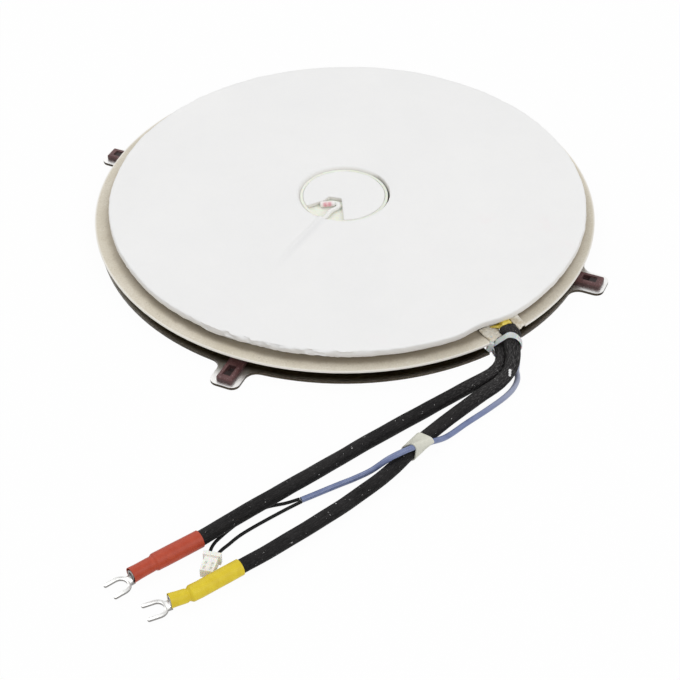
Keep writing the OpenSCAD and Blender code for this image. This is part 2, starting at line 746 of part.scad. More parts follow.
// The space round one stretch of lead 2 and of the cable, from part a to part b of its length
module band_shape(a, b, gap) {
    hull() {
        band_piece(lead_2_route, band_index_lead, a, b, lead_2_d / 2 + gap);
        band_piece(cable_route, band_index_cable, a, b, cable_sleeve_d / 2 + gap);
    }
}

// Round bar along a part of the stretch of a route that starts at point i
module band_piece(route, i, a, b, r) {
    from = route[i];
    to = route[i + 1];
    way = unit(to - from);
    side = unit(cross([0, 0, 1], way));
    place(between(from, to, a), side, cross(way, side))
        cylinder((b - a) * norm(to - from), r = r, $fn = hull_fn);
}

carrier_plate();
for (i = [1:ear_count]) ear_block(i);
for (i = [1:bar_count]) ferrite_bar(i);
base_board();
winding();
fibre_blanket();
sensor_seat();
centre_pad();
temperature_sensor();
sensor_lead();
exit_packing();
exit_tape();
power_lead_red();
power_lead_yellow();
shrink_red();
shrink_yellow();
fork_terminal_red();
fork_terminal_yellow();
cable_tie();
sensor_cable_sleeve();
sensor_wire_1();
sensor_wire_2();
sensor_connector();
tape_band();
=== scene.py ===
import math

import bmesh
import bpy
import numpy as np
from mathutils import Matrix, Vector, noise


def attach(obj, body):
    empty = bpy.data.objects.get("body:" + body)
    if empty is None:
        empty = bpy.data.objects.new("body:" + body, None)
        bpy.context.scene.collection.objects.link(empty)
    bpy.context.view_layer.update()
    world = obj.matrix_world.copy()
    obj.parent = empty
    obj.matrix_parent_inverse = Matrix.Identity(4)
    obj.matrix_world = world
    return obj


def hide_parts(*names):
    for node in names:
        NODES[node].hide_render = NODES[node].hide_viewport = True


# Induction hob coil. Lengths in this file are millimetres, and become metres where a mesh is made.
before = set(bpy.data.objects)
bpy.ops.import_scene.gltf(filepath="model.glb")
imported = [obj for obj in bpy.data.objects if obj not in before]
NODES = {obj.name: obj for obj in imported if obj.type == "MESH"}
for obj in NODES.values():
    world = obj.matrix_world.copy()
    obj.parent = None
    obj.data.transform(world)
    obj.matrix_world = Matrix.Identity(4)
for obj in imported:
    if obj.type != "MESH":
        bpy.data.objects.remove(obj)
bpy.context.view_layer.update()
MM = 0.001
TAU = 2 * math.pi

# Sizes and routes that part.scad has too
EXIT_ANGLE = math.radians(-73)
GROOVE_ANGLE = math.radians(-141)
BOARD_Z, WINDING_Z, BLANKET_Z, BLANKET_TOP = 7.0, 7.8, 11.0, 14.2
TAIL_YAW = math.radians(18)
TAIL_ROOT = (98.04, 2.283)
TAIL_END = (108.03, -0.962)
TAIL_Z = 9.4
INNER_TAIL = (102.0, -4.15, 4.1)


def exit_point(out, side, z):
    """A point given by its distance out along the exit direction and its distance to the side."""
    c, s = math.cos(EXIT_ANGLE), math.sin(EXIT_ANGLE)
    return [out * c - side * s, out * s + side * c, z]


LEAD_1 = [
    exit_point(102.1, -4.15, 4.1), exit_point(104.5, -4.15, 4.1),
    [26.4, -106, 4.1], [25.9, -108.6, 4.5], [24.2, -113.5, 4], [21.5, -117.3, 3.5], [17.5, -120, 3.2],
    [12, -121.7, 3], [3.5, -124, 3], [-10, -128, 3], [-43.5, -138, 3], [-60, -143.5, 3.1],
    [-91, -154.5, 4.5], [-106, -159.3, 4.4], [-118.5, -162.7, 3.3], [-137.4, -167.8, 3.3]]
LEAD_2 = [
    exit_point(TAIL_END[0] + 0.1, TAIL_END[1], TAIL_Z),
    exit_point(TAIL_END[0] + 2 * math.cos(TAIL_YAW), TAIL_END[1] - 2 * math.sin(TAIL_YAW), TAIL_Z),
    [30.8, -108, 9.4], [29.4, -111, 9.3], [27.7, -115, 8.6], [25.9, -119.1, 7.4], [23, -123, 5.7],
    [17.4, -126.3, 4], [7.5, -129.8, 2.9], [-3, -134.4, 2.9], [-23, -144.5, 3.5],
    [-33, -150.5, 3.5], [-42.5, -156, 2.9], [-61, -164.3, 2.8], [-73.5, -169, 2.8],
    [-97.5, -177, 2.8], [-109.2, -180.6, 3.1], [-129.7, -186.3, 3.1]]
CABLE = [
    exit_point(103.2, 1.5, 5), exit_point(105.5, 1.6, 4.9),
    [32.2, -107.2, 3.6], [31.6, -112.2, 2.4], [29.3, -116.8, 2.2], [27.1, -120.8, 1.9], [25.6, -124.9, 1.5],
    [21.9, -129.1, 1.3], [17.2, -132.2, 1.2], [8.2, -136.2, 1.2], [-3.5, -140.6, 1.2],
    [-14.6, -145.4, 1.8], [-23, -148.8, 5.1],
    [-32, -151.9, 8], [-41, -153, 7], [-48.5, -152.7, 2.8], [-56.5, -153, 1.2], [-77.5, -156, 1.2]]
PLUG_PLACE, PLUG_ANGLE, PLUG_PITCH = (-116.6, -171.4, 1.9), math.radians(-124), 2.5


def plug_point(side, depth):
    """A point in one of the connector's wire bores."""
    c, s = math.cos(PLUG_ANGLE), math.sin(PLUG_ANGLE)
    return [PLUG_PLACE[0] + depth * c - side * PLUG_PITCH * s,
            PLUG_PLACE[1] + depth * s + side * PLUG_PITCH * c, PLUG_PLACE[2]]


WIRE_1 = [
    [-77.9, -155.3, 1.2], [-83, -155.1, 0.8], [-91, -154.4, 0.7], [-99, -156.3, 0.7], [-106, -159.6, 0.7],
    [-110.5, -162.1, 0.7], [-114, -164.5, 0.8], [-116.5, -167.8, 1.4],
    plug_point(-0.5, -0.3), plug_point(-0.5, 1.9)]
WIRE_2 = [
    [-77.7, -156.8, 1.2], [-86, -158.5, 0.7], [-103.5, -163.9, 0.7], [-109.5, -167, 0.8],
    [-113.4, -169.8, 1.7], plug_point(0.5, -0.3), plug_point(0.5, 1.9)]
BEAD = (-8.8, -2.1, 12.3)
BEAD_ANGLE = math.radians(-15)


def bead_point(out):
    """A point beyond the bead's end, in line with the bead."""
    return [BEAD[0] + (3.3 + out) * math.cos(BEAD_ANGLE), BEAD[1] + (3.3 + out) * math.sin(BEAD_ANGLE), BEAD[2]]


SENSOR = [
    bead_point(0.1), bead_point(0.5), [-4.6, -3.7, 12.2], [-4.6, -4.6, 12.1], [-5.3, -5.6, 12],
    [-9, -7, 12], [-12.5, -10.1, 12], [-17.1, -13.8, 12], [-75.4, -61, 12], [-77, -62.6, 11],
    [-77.6, -64.2, 9.4], [-76.2, -66, 8.9], [-51.5, -85.7, 8.9], [-22.5, -97.4, 8.9], [14, -98.9, 8.9],
    exit_point(99.6, -9.5, 8.9), exit_point(99.5, -6, 8.6), exit_point(99.6, -3.3, 7.5),
    exit_point(100, -0.6, 6.2), exit_point(101.2, 1.2, 5.3), exit_point(102.9, 1.5, 5)]


# Camera, floor and light

def make_camera():
    """The photograph's viewpoint."""
    data = bpy.data.cameras.new("camera")
    data.sensor_width = 36
    data.lens = 92.54
    data.clip_start, data.clip_end = 0.02, 20
    camera = bpy.data.objects.new("camera", data)
    bpy.context.scene.collection.objects.link(camera)
    right, up = Vector((0.9337, -0.3582, -0.0042)), Vector((0.2382, 0.6121, 0.754))
    turn = Matrix((right, up, right.cross(up))).transposed()
    camera.matrix_world = Matrix.Translation((-0.22316, -0.58134, 0.47113)) @ turn.to_4x4()
    bpy.context.scene.camera = camera


def seen_rays(tree):
    """1 for a ray from the camera, a mirror or glass, else 0."""
    rays = tree.nodes.new("ShaderNodeLightPath")
    outputs = [rays.outputs[n] for n in ("Is Camera Ray", "Is Glossy Ray", "Is Transmission Ray")]
    total = outputs[0]
    for other in outputs[1:]:
        most = tree.nodes.new("ShaderNodeMath")
        most.operation = "MAXIMUM"
        tree.links.new(total, most.inputs[0])
        tree.links.new(other, most.inputs[1])
        total = most.outputs[0]
    return total


def make_floor():
    """A white floor that keeps a part of the object's shadow."""
    mesh = bpy.data.meshes.new("floor")
    size = 4.0
    mesh.from_pydata([(-size, -size, 0), (size, -size, 0), (size, size, 0), (-size, size, 0)], [], [(0, 1, 2, 3)])
    floor = bpy.data.objects.new("floor", mesh)
    floor.location.z = -0.0002
    bpy.context.scene.collection.objects.link(floor)
    mat = bpy.data.materials.new("floor")
    mat.use_nodes = True
    tree = mat.node_tree
    tree.nodes.clear()
    diffuse = tree.nodes.new("ShaderNodeBsdfDiffuse")
    diffuse.inputs["Color"].default_value = (0.85, 0.85, 0.85, 1)
    white = tree.nodes.new("ShaderNodeEmission")
    white.inputs["Strength"].default_value = 1.0
    mix = tree.nodes.new("ShaderNodeMixShader")
    share = tree.nodes.new("ShaderNodeMath")
    share.operation = "MULTIPLY"
    share.inputs[1].default_value = 0.965
    out = tree.nodes.new("ShaderNodeOutputMaterial")
    tree.links.new(seen_rays(tree), share.inputs[0])
    tree.links.new(share.outputs[0], mix.inputs[0])
    tree.links.new(diffuse.outputs[0], mix.inputs[1])
    tree.links.new(white.outputs[0], mix.inputs[2])
    tree.links.new(mix.outputs[0], out.inputs["Surface"])
    mesh.materials.append(mat)


def make_world(ambient):
    """White where it is seen, and softer as a light."""
    world = bpy.data.worlds.new("world")
    bpy.context.scene.world = world
    world.use_nodes = True
    tree = world.node_tree
    background = tree.nodes["Background"]
    background.inputs["Color"].default_value = (1, 1, 1, 1)
    strength = tree.nodes.new("ShaderNodeMapRange")
    strength.inputs["To Min"].default_value = ambient
    strength.inputs["To Max"].default_value = 1.0
    tree.links.new(seen_rays(tree), strength.inputs["Value"])
    tree.links.new(strength.outputs["Result"], background.inputs["Strength"])


def make_lamp(name, place, target, size, power):
    data = bpy.data.lights.new(name, "AREA")
    data.shape = "SQUARE"
    data.size = size
    data.energy = power
    lamp = bpy.data.objects.new(name, data)
    lamp.location = place
    lamp.rotation_mode = "QUATERNION"
    lamp.rotation_quaternion = (Vector(target) - Vector(place)).to_track_quat("-Z", "Y")
    bpy.context.scene.collection.objects.link(lamp)


make_camera()
make_floor()
make_world(0.60)
make_lamp("key", (-0.5, 0.75, 1.5), (0, -0.03, 0), 1.1, 8.5)
make_lamp("fill", (0.5, -1.2, 1.1), (0, -0.03, 0), 1.2, 8)
bpy.context.scene.view_settings.view_transform = "Standard"


# Materials

class Paint:
    """A procedural material, made node by node. Object coordinates are metres in the part's frame."""

    def __init__(self, name, **sockets):
        self.mat = bpy.data.materials.new(name)
        self.mat.use_nodes = True
        self.tree = self.mat.node_tree
        self.bsdf = self.tree.nodes["Principled BSDF"]
        for key, value in sockets.items():
            self.bsdf.inputs[key.replace("_", " ")].default_value = value

    def node(self, kind, inputs=None, **settings):
        made = self.tree.nodes.new("ShaderNode" + kind)
        for key, value in settings.items():
            setattr(made, key, value)
        for key, value in (inputs or {}).items():
            if hasattr(value, "is_output"):
                self.tree.links.new(value, made.inputs[key])
            else:
                made.inputs[key].default_value = value
        return made

    def place(self, stretch=(1, 1, 1), uv=False):
        """Object or UV coordinates, stretched."""
        coord = self.node("TexCoord").outputs["UV" if uv else "Object"]
        return self.node("Mapping", {"Vector": coord, "Scale": stretch}).outputs[0]

    def noise(self, scale, detail=3.0, roughness=0.5, stretch=(1, 1, 1), uv=False, distortion=0.0):
        return self.node("TexNoise", {"Vector": self.place(stretch, uv), "Scale": scale, "Detail": detail,
                                      "Roughness": roughness, "Distortion": distortion}).outputs["Fac"]

    def ramp(self, value, *stops):
        """Colours or greys at places from 0 to 1."""
        made = self.node("ValToRGB", {"Fac": value})
        band = made.color_ramp
        while len(band.elements) < len(stops):
            band.elements.new(0.5)
        for element, (at, colour) in zip(band.elements, stops):
            element.position = at
            grey = (colour,) * 3 if isinstance(colour, (int, float)) else colour
            element.color = (*grey, 1)
        return made.outputs["Color"]

    def mix(self, share, a, b, blend="MIX"):
        made = self.node("Mix", data_type="RGBA", blend_type=blend)
        for index, value in ((0, share), (6, a), (7, b)):
            if hasattr(value, "is_output"):
                self.tree.links.new(value, made.inputs[index])
            elif index == 0:
                made.inputs[0].default_value = value
            else:
                made.inputs[index].default_value = (*value, 1)
        return made.outputs[2]

    def math(self, operation, a, b=0.0, c=0.0):
        return self.node("Math", dict(enumerate((a, b, c))), operation=operation).outputs[0]

    def spot(self, centre, radius):
        """1 at a point of the part, given in mm, fading to 0 at the radius."""
        away = self.node("VectorMath", {0: self.place(), 1: [c * MM for c in centre]}, operation="DISTANCE")
        return self.node("MapRange", {"Value": away.outputs["Value"], "From Min": 0.0, "From Max": radius * MM,
                                      "To Min": 1.0, "To Max": 0.0}, interpolation_type="SMOOTHSTEP").outputs[0]

    def facing_up(self):
        """1 on a face that looks up, 0 on a wall."""
        normal = self.node("NewGeometry").outputs["Normal"]
        return self.math("ABSOLUTE", self.node("SeparateXYZ", {0: normal}).outputs["Z"])

    def colour(self, value):
        self.tree.links.new(value, self.bsdf.inputs["Base Color"])

    def rough(self, value, low, high):
        to = self.node("MapRange", {"Value": value, "To Min": low, "To Max": high}).outputs[0]
        self.tree.links.new(to, self.bsdf.inputs["Roughness"])

    def bump(self, *layers):
        """Each layer is (height, strength, distance in mm)."""
        normal = None
        for height, strength, distance in layers:
            inputs = {"Height": height, "Strength": strength, "Distance": distance * MM}
            if normal is not None:
                inputs["Normal"] = normal
            normal = self.node("Bump", inputs).outputs[0]
        self.tree.links.new(normal, self.bsdf.inputs["Normal"])


def felt_paint():
    p = Paint("ceramic_fibre", Roughness=0.95, Sheen_Weight=0.25, Sheen_Roughness=0.6, Specular_IOR_Level=0.15)
    cloud = p.noise(28, 4, 0.6)
    fibre = p.noise(900, 4, 0.7, (1, 1, 3))
    base = p.mix(p.ramp(cloud, (0.3, 0.0), (0.75, 1.0)), (0.872, 0.872, 0.870), (0.900, 0.898, 0.893))
    base = p.mix(p.math("MULTIPLY", p.ramp(fibre, (0.35, 0.0), (0.7, 1.0)), 0.10), base, (0.80, 0.80, 0.79))
    for centre, radius, share in (((51, -41, 14), 9, 0.10), ((72, -52, 14), 10, 0.13), ((72, -71, 14), 9, 0.16),
                                  ((22, -52, 14), 6, 0.07), ((-70, -56, 14), 7, 0.08), ((-23, -96, 14), 6, 0.10)):
        smudge = p.math("MULTIPLY", p.spot(centre, radius), p.ramp(p.noise(160, 4, 0.7), (0.42, 0.0), (0.62, 1.0)))
        base = p.mix(p.math("MULTIPLY", smudge, share * 2), base, (0.90, 0.80, 0.82))
    # Painted shade: a grey band along one flank of the ridge that the sensor's lead lifts in the felt
    flank = (-math.sin(GROOVE_ANGLE), math.cos(GROOVE_ANGLE), 0)
    across = p.node("VectorMath", {0: p.place(), 1: flank}, operation="DOT_PRODUCT").outputs["Value"]
    line = p.node("MapRange", {"Value": p.math("ABSOLUTE", p.math("SUBTRACT", across, 0.0012)), "From Min": 0.0,
                               "From Max": 0.0024, "To Min": 1.0, "To Max": 0.0}).outputs[0]
    line = p.math("MULTIPLY", line, p.spot((-26, -21, 14), 34))
    base = p.mix(p.math("MULTIPLY", line, 0.45), base, (0.74, 0.74, 0.75))
    # Painted shade: walls are painted darker and warmer than the top
    wall = p.ramp(p.facing_up(), (0.25, 0.7), (0.75, 0.0))
    p.colour(p.mix(wall, base, (0.74, 0.715, 0.67)))
    p.bump((p.noise(60, 3, 0.5), 0.25, 0.6), (fibre, 0.35, 0.15), (p.noise(2600, 2, 0.6), 0.25, 0.05))
    return p.mat


def board_paint():
    p = Paint("mica_board", Roughness=0.78, Specular_IOR_Level=0.3)
    grain = p.noise(1500, 3, 0.65)
    cloud = p.noise(45, 4, 0.6)
    base = p.mix(p.ramp(cloud, (0.3, 0.0), (0.7, 1.0)), (0.70, 0.645, 0.53), (0.80, 0.755, 0.655))
    base = p.mix(p.math("MULTIPLY", p.ramp(grain, (0.4, 0.0), (0.62, 1.0)), 0.35), base, (0.56, 0.49, 0.37))
    fleck = p.ramp(p.noise(700, 2, 0.5), (0.66, 0.0), (0.72, 1.0))
    base = p.mix(p.math("MULTIPLY", fleck, 0.35), base, (0.88, 0.86, 0.80))
    speck = p.ramp(p.noise(1100, 2, 0.6), (0.68, 0.0), (0.73, 1.0))
    base = p.mix(p.math("MULTIPLY", speck, 0.5), base, (0.26, 0.20, 0.14))
    edge = p.node("VectorMath", {0: p.place((1, 1, 0))}, operation="LENGTH").outputs["Value"]
    # Painted highlight: a thin lighter line at the board's outer edge
    rim = p.node("MapRange", {"Value": edge, "From Min": 0.1091, "From Max": 0.1098}).outputs[0]
    base = p.mix(p.math("MULTIPLY", rim, 0.8), base, (0.92, 0.90, 0.85))
    # Painted shade from the blanket's overhang: a brown band beside its edge with a dark line right under it, most of
    # it towards -y, the side with the exit
    forward = p.node("SeparateXYZ", {0: p.place()}).outputs["Y"]
    much = p.node("MapRange", {"Value": forward, "From Min": -0.09, "From Max": 0.02,
                               "To Min": 1.0, "To Max": 0.45}).outputs[0]
    ragged = p.math("MULTIPLY_ADD", p.noise(210, 4, 0.65), 0.0022, edge)
    for reach, depth, shade_tint in ((0.1100, 0.38, (0.46, 0.38, 0.27)), (0.1074, 0.55, (0.15, 0.11, 0.07))):
        near = p.node("MapRange", {"Value": ragged, "From Min": 0.1048, "From Max": reach, "To Min": depth,
                                   "To Max": 0.0}, interpolation_type="SMOOTHSTEP").outputs[0]
        base = p.mix(p.math("MULTIPLY", near, much), base, shade_tint)
    p.colour(base)
    p.rough(cloud, 0.7, 0.85)
    p.bump((grain, 0.3, 0.05), (p.noise(90, 3, 0.5), 0.2, 0.25))
    return p.mat


def plate_paint():
    p = Paint("aluminium_plate", Metallic=1.0, Roughness=0.32)
    rolled = p.noise(260, 4, 0.6, (1, 14, 1))
    cloud = p.noise(24, 3, 0.5)
    top = p.mix(p.ramp(cloud, (0.3, 0.0), (0.7, 1.0)), (0.84, 0.835, 0.82), (0.92, 0.915, 0.905))
    # Painted shade: the walls (edge faces) are painted near black
    wall = p.mix(p.ramp(rolled, (0.3, 0.0), (0.7, 1.0)), (0.036, 0.028, 0.020), (0.090, 0.075, 0.057))
    flat = p.ramp(p.facing_up(), (0.5, 0.0), (0.7, 1.0))
    # Painted shade and dark reflection: the top inside the rim, under the board's edge, is painted dark brown, and the
    # ears outside it keep the bare colour
    out = p.node("VectorMath", {0: p.place((1, 1, 0))}, operation="LENGTH").outputs["Value"]
    bare = p.node("MapRange", {"Value": p.math("MULTIPLY_ADD", cloud, 0.002, out), "From Min": 0.1070,
                               "From Max": 0.1108}, interpolation_type="SMOOTHSTEP").outputs[0]
    under_board_shade = p.mix(p.ramp(rolled, (0.3, 0.0), (0.7, 1.0)), (0.085, 0.066, 0.038), (0.21, 0.170, 0.105))
    p.colour(p.mix(flat, wall, p.mix(bare, under_board_shade, top)))
    p.rough(rolled, 0.26, 0.42)
    p.bump((rolled, 0.12, 0.02), (p.noise(900, 2, 0.5), 0.05, 0.01))
    return p.mat


def maroon_paint():
    p = Paint("maroon_plastic", Roughness=0.5, Specular_IOR_Level=0.45)
    cloud = p.noise(180, 4, 0.6)
    fleck = p.ramp(p.noise(1400, 2, 0.6), (0.58, 0.0), (0.68, 1.0))
    base = p.mix(p.ramp(cloud, (0.3, 0.0), (0.7, 1.0)), (0.072, 0.026, 0.026), (0.140, 0.062, 0.060))
    base = p.mix(p.math("MULTIPLY", fleck, 0.4), base, (0.30, 0.20, 0.21))
    # Painted shade: faces that look up below 3 mm, the pocket floors, are painted near black
    flat = p.ramp(p.facing_up(), (0.88, 0.0), (0.96, 1.0))
    height = p.node("SeparateXYZ", {0: p.place()}).outputs["Z"]
    low = p.node("MapRange", {"Value": height, "From Min": 0.0030, "From Max": 0.0032, "To Min": 1.0,
                              "To Max": 0.0}).outputs[0]
    # Painted shade: walls are painted darker than the tops
    wall = p.ramp(p.facing_up(), (0.2, 0.55), (0.6, 0.0))
    base = p.mix(wall, base, (0.035, 0.016, 0.014))
    p.colour(p.mix(p.math("MULTIPLY", low, flat), base, (0.014, 0.005, 0.005)))
    p.rough(cloud, 0.42, 0.6)
    p.bump((p.noise(1100, 3, 0.6), 0.3, 0.04))
    return p.mat


def ferrite_paint():
    p = Paint("ferrite", Roughness=0.6)
    grain = p.noise(1200, 4, 0.6)
    p.colour(p.mix(p.ramp(grain, (0.35, 0.0), (0.7, 1.0)), (0.028, 0.028, 0.030), (0.075, 0.073, 0.072)))
    p.rough(grain, 0.5, 0.75)
    p.bump((grain, 0.4, 0.05))
    return p.mat


def litz_paint():
    p = Paint("litz_wire", Metallic=0.85, Roughness=0.38)
    strand = p.node("TexWave", {"Vector": p.place(), "Scale": 900.0, "Distortion": 3.0, "Detail": 2.0},
                    bands_direction="DIAGONAL").outputs["Fac"]
    p.colour(p.mix(strand, (0.30, 0.13, 0.05), (0.68, 0.36, 0.18)))
    p.rough(strand, 0.3, 0.5)
    p.bump((strand, 0.5, 0.12))
    return p.mat


def ivory_paint():
    p = Paint("ivory_plastic", Roughness=0.42, Subsurface_Weight=0.15, Subsurface_Scale=0.002)
    cloud = p.noise(120, 3, 0.5)
    p.colour(p.mix(p.ramp(cloud, (0.3, 0.0), (0.7, 1.0)), (0.82, 0.83, 0.73), (0.88, 0.885, 0.80)))
    p.rough(cloud, 0.36, 0.5)
    p.bump((p.noise(500, 3, 0.5), 0.12, 0.04))
    return p.mat


def bead_paint():
    p = Paint("sensor_bead", Roughness=0.3, Coat_Weight=0.4, Coat_Roughness=0.15)
    marks = p.math("MAXIMUM", p.spot((-10.0, -3.0, 12.9), 2.2), p.spot((-8.6, -3.4, 12.9), 2.2))
    mark = p.math("MULTIPLY", marks, p.ramp(p.noise(700, 3, 0.6), (0.3, 0.5), (0.6, 1.0)))
    p.colour(p.mix(mark, (0.90, 0.88, 0.86), (0.72, 0.20, 0.26)))
    p.bump((p.noise(800, 3, 0.5), 0.2, 0.05))
    return p.mat


def sleeve_paint(name, low, high, pitch, roughness=0.7):
    """Woven sleeving: two crossing sets of yarns round the tube, from its UV map in mm."""
    p = Paint(name, Roughness=roughness)
    uv = p.node("SeparateXYZ", {0: p.place(uv=True)}).outputs
    waves = []
    for sign in (1, -1):
        slant = p.math("MULTIPLY_ADD", uv["Y"], float(sign), uv["X"])
        waves.append(p.math("SINE", p.math("MULTIPLY", slant, TAU / pitch)))
    weave = p.math("MULTIPLY_ADD", p.math("MAXIMUM", waves[0], waves[1]), 0.5, 0.5)
    p.colour(p.mix(weave, low, high))
    p.bump((weave, 0.4, 0.08), (p.noise(2500, 2, 0.6), 0.2, 0.03))
    return p.mat


def cream_paint():
    p = Paint("cream_packing", Roughness=0.95, Sheen_Weight=0.3)
    cloud = p.noise(300, 4, 0.65)
    p.colour(p.mix(p.ramp(cloud, (0.35, 0.0), (0.7, 1.0)), (0.56, 0.48, 0.35), (0.88, 0.86, 0.79)))
    p.bump((p.noise(1300, 4, 0.7, (1, 1, 4)), 0.5, 0.15))
    return p.mat


def tape_paint():
    p = Paint("yellow_tape", Roughness=0.28, Coat_Weight=0.5, Coat_Roughness=0.1)
    crease = p.noise(420, 4, 0.6, (1, 3, 1), distortion=0.6)
    p.colour(p.mix(p.ramp(crease, (0.35, 0.0), (0.65, 1.0)), (0.52, 0.36, 0.02), (0.86, 0.70, 0.10)))
    p.bump((crease, 0.5, 0.2))
    return p.mat


def lead_paint():
    """Black woven sleeving with a soft coat, lint and fine creases; UV in mm."""
    p = Paint("black_sleeve", Roughness=0.6, Specular_IOR_Level=0.08)
    streak = p.noise(1.0, 4, 0.6, (0.12, 1.6, 1), uv=True)
    cloud = p.noise(60, 3, 0.5)
    base = p.mix(p.ramp(streak, (0.3, 0.0), (0.72, 1.0)), (0.001, 0.001, 0.001), (0.014, 0.013, 0.0135))
    lint = p.ramp(p.noise(640, 3, 0.75), (0.685, 0.0), (0.705, 1.0))
    # Lighter on faces that look up: partly dust, partly painted sheen from the light above
    upward = p.node("SeparateXYZ", {0: p.node("NewGeometry").outputs["Normal"]}).outputs["Z"]
    dust_and_sheen = p.math("MULTIPLY", p.ramp(cloud, (0.35, 0.2), (0.7, 1.0)), p.ramp(upward, (0.1, 0.0), (0.95, 1.0)))
    base = p.mix(p.math("MULTIPLY", dust_and_sheen, 0.35), base, (0.045, 0.043, 0.043))
    # Painted highlights: light streaks along the lead, strongest at the bend near the exit
    bend_glint = p.ramp(p.noise(1.0, 5, 0.75, (0.5, 3.0, 1), uv=True), (0.50, 0.0), (0.66, 1.0))
    near_bend = p.math("MULTIPLY_ADD", p.spot((22, -121, 8), 38), 0.75, 0.2)
    base = p.mix(p.math("MULTIPLY", bend_glint, near_bend), base, (0.15, 0.145, 0.145))
    # A white scrape where the lead with the yellow sleeve leaves the tie
    scrape = p.math("MAXIMUM", p.spot((21.8, -125.3, 7.45), 1.0), p.spot((21.1, -126.7, 6.55), 0.9))
    scrape = p.math("MAXIMUM", scrape, p.spot((21.45, -126.0, 7.0), 0.95))
    scrape = p.ramp(p.math("MULTIPLY_ADD", p.noise(1100, 3, 0.7), 0.8, scrape), (0.62, 0.0), (0.85, 1.0))
    base = p.mix(scrape, base, (0.80, 0.80, 0.80))
    p.colour(p.mix(p.math("MULTIPLY", lint, 0.8), base, (0.62, 0.61, 0.60)))
    p.rough(streak, 0.42, 0.68)
    p.bump((streak, 0.5, 0.18), (p.noise(1700, 2, 0.6), 0.25, 0.04), (lint, 0.5, 0.05))
    return p.mat


def shrink_paint(name, low, high, worn):
    p = Paint(name, Roughness=0.42, Specular_IOR_Level=0.3)
    cloud = p.noise(0.35, 3, 0.5, (1, 0.6, 1), uv=True)
    grain = p.noise(1500, 3, 0.6)
    base = p.mix(p.ramp(cloud, (0.3, 0.0), (0.7, 1.0)), low, high)
    p.colour(p.mix(p.math("MULTIPLY", p.ramp(grain, (0.5, 0.0), (0.75, 1.0)), 0.12), base, worn))
    p.rough(cloud, 0.36, 0.5)
    p.bump((cloud, 0.1, 0.2), (grain, 0.1, 0.02))
    return p.mat


def tin_paint():
    p = Paint("tinned_copper", Metallic=1.0, Roughness=0.3)
    cloud = p.noise(380, 4, 0.6)
    scratch = p.noise(900, 3, 0.6, (1, 9, 1))
    base = p.mix(p.ramp(cloud, (0.3, 0.0), (0.7, 1.0)), (0.50, 0.50, 0.49), (0.66, 0.66, 0.65))
    # Painted shade: side faces are painted darker than the tops
    edge = p.ramp(p.facing_up(), (0.35, 0.85), (0.9, 0.0))
    p.colour(p.mix(edge, base, (0.24, 0.23, 0.22)))
    p.rough(scratch, 0.26, 0.42)
    p.bump((scratch, 0.08, 0.01), (cloud, 0.1, 0.03))
    return p.mat


def nylon_paint():
    p = Paint("nylon", Roughness=0.38, Subsurface_Weight=0.3, Subsurface_Scale=0.003, Transmission_Weight=0.35)
    cloud = p.noise(300, 3, 0.5)
    p.colour(p.mix(p.ramp(cloud, (0.3, 0.0), (0.7, 1.0)), (0.82, 0.83, 0.82), (0.92, 0.925, 0.92)))
    p.bump((p.noise(900, 2, 0.5), 0.15, 0.04))
    return p.mat


def wire_paint():
    p = Paint("black_wire", Roughness=0.5, Specular_IOR_Level=0.12)
    grain = p.noise(900, 3, 0.6)
    p.colour(p.mix(grain, (0.003, 0.003, 0.003), (0.012, 0.012, 0.012)))
    p.rough(grain, 0.35, 0.5)
    p.bump((grain, 0.1, 0.03))
    return p.mat


def blue_paint():
    p = Paint("blue_sleeve", Roughness=0.36, Coat_Weight=0.2, Coat_Roughness=0.2)
    cloud = p.noise(0.5, 3, 0.5, (0.5, 1, 1), uv=True)
    base = p.mix(p.ramp(cloud, (0.3, 0.0), (0.7, 1.0)), (0.115, 0.150, 0.30), (0.185, 0.230, 0.40))
    p.colour(p.mix(p.math("MULTIPLY", p.spot((26, -122, 2), 34), 0.7), base, (0.42, 0.44, 0.53)))
    p.bump((cloud, 0.3, 0.1))
    return p.mat


def white_paint():
    p = Paint("white_plastic", Roughness=0.45, Subsurface_Weight=0.2, Subsurface_Scale=0.0015)
    cloud = p.noise(500, 3, 0.5)
    p.colour(p.mix(p.ramp(cloud, (0.3, 0.0), (0.7, 1.0)), (0.84, 0.835, 0.78), (0.91, 0.905, 0.87)))
    p.bump((p.noise(1500, 2, 0.5), 0.1, 0.02))
    return p.mat


def pale_paint():
    p = Paint("pale_tape", Roughness=0.6)
    cloud = p.noise(350, 4, 0.6)
    weave = p.noise(2200, 3, 0.6, (1, 3, 1))
    p.colour(p.mix(p.ramp(cloud, (0.3, 0.0), (0.7, 1.0)), (0.62, 0.62, 0.53), (0.71, 0.705, 0.62)))
    p.bump((cloud, 0.12, 0.08), (weave, 0.2, 0.03))
    return p.mat


PAINT = {
    "ceramic_fibre": felt_paint(), "mica_board": board_paint(), "aluminium_plate": plate_paint(),
    "maroon_plastic": maroon_paint(), "ferrite": ferrite_paint(), "litz_wire": litz_paint(),
    "ivory_plastic": ivory_paint(), "sensor_bead": bead_paint(),
    "white_sleeve": sleeve_paint("white_sleeve", (0.80, 0.80, 0.78), (0.92, 0.92, 0.90), 0.55),
    "cream_packing": cream_paint(), "yellow_tape": tape_paint(), "black_sleeve": lead_paint(),
    "red_shrink": shrink_paint("red_shrink", (0.42, 0.052, 0.022), (0.48, 0.072, 0.034), (0.55, 0.13, 0.08)),
    "yellow_shrink": shrink_paint("yellow_shrink", (0.67, 0.50, 0.018), (0.76, 0.60, 0.033), (0.84, 0.72, 0.10)),
    "tinned_copper": tin_paint(), "nylon": nylon_paint(), "blue_sleeve": blue_paint(),
    "black_wire": wire_paint(), "white_plastic": white_paint(), "pale_tape": pale_paint()}


# Geometry helpers

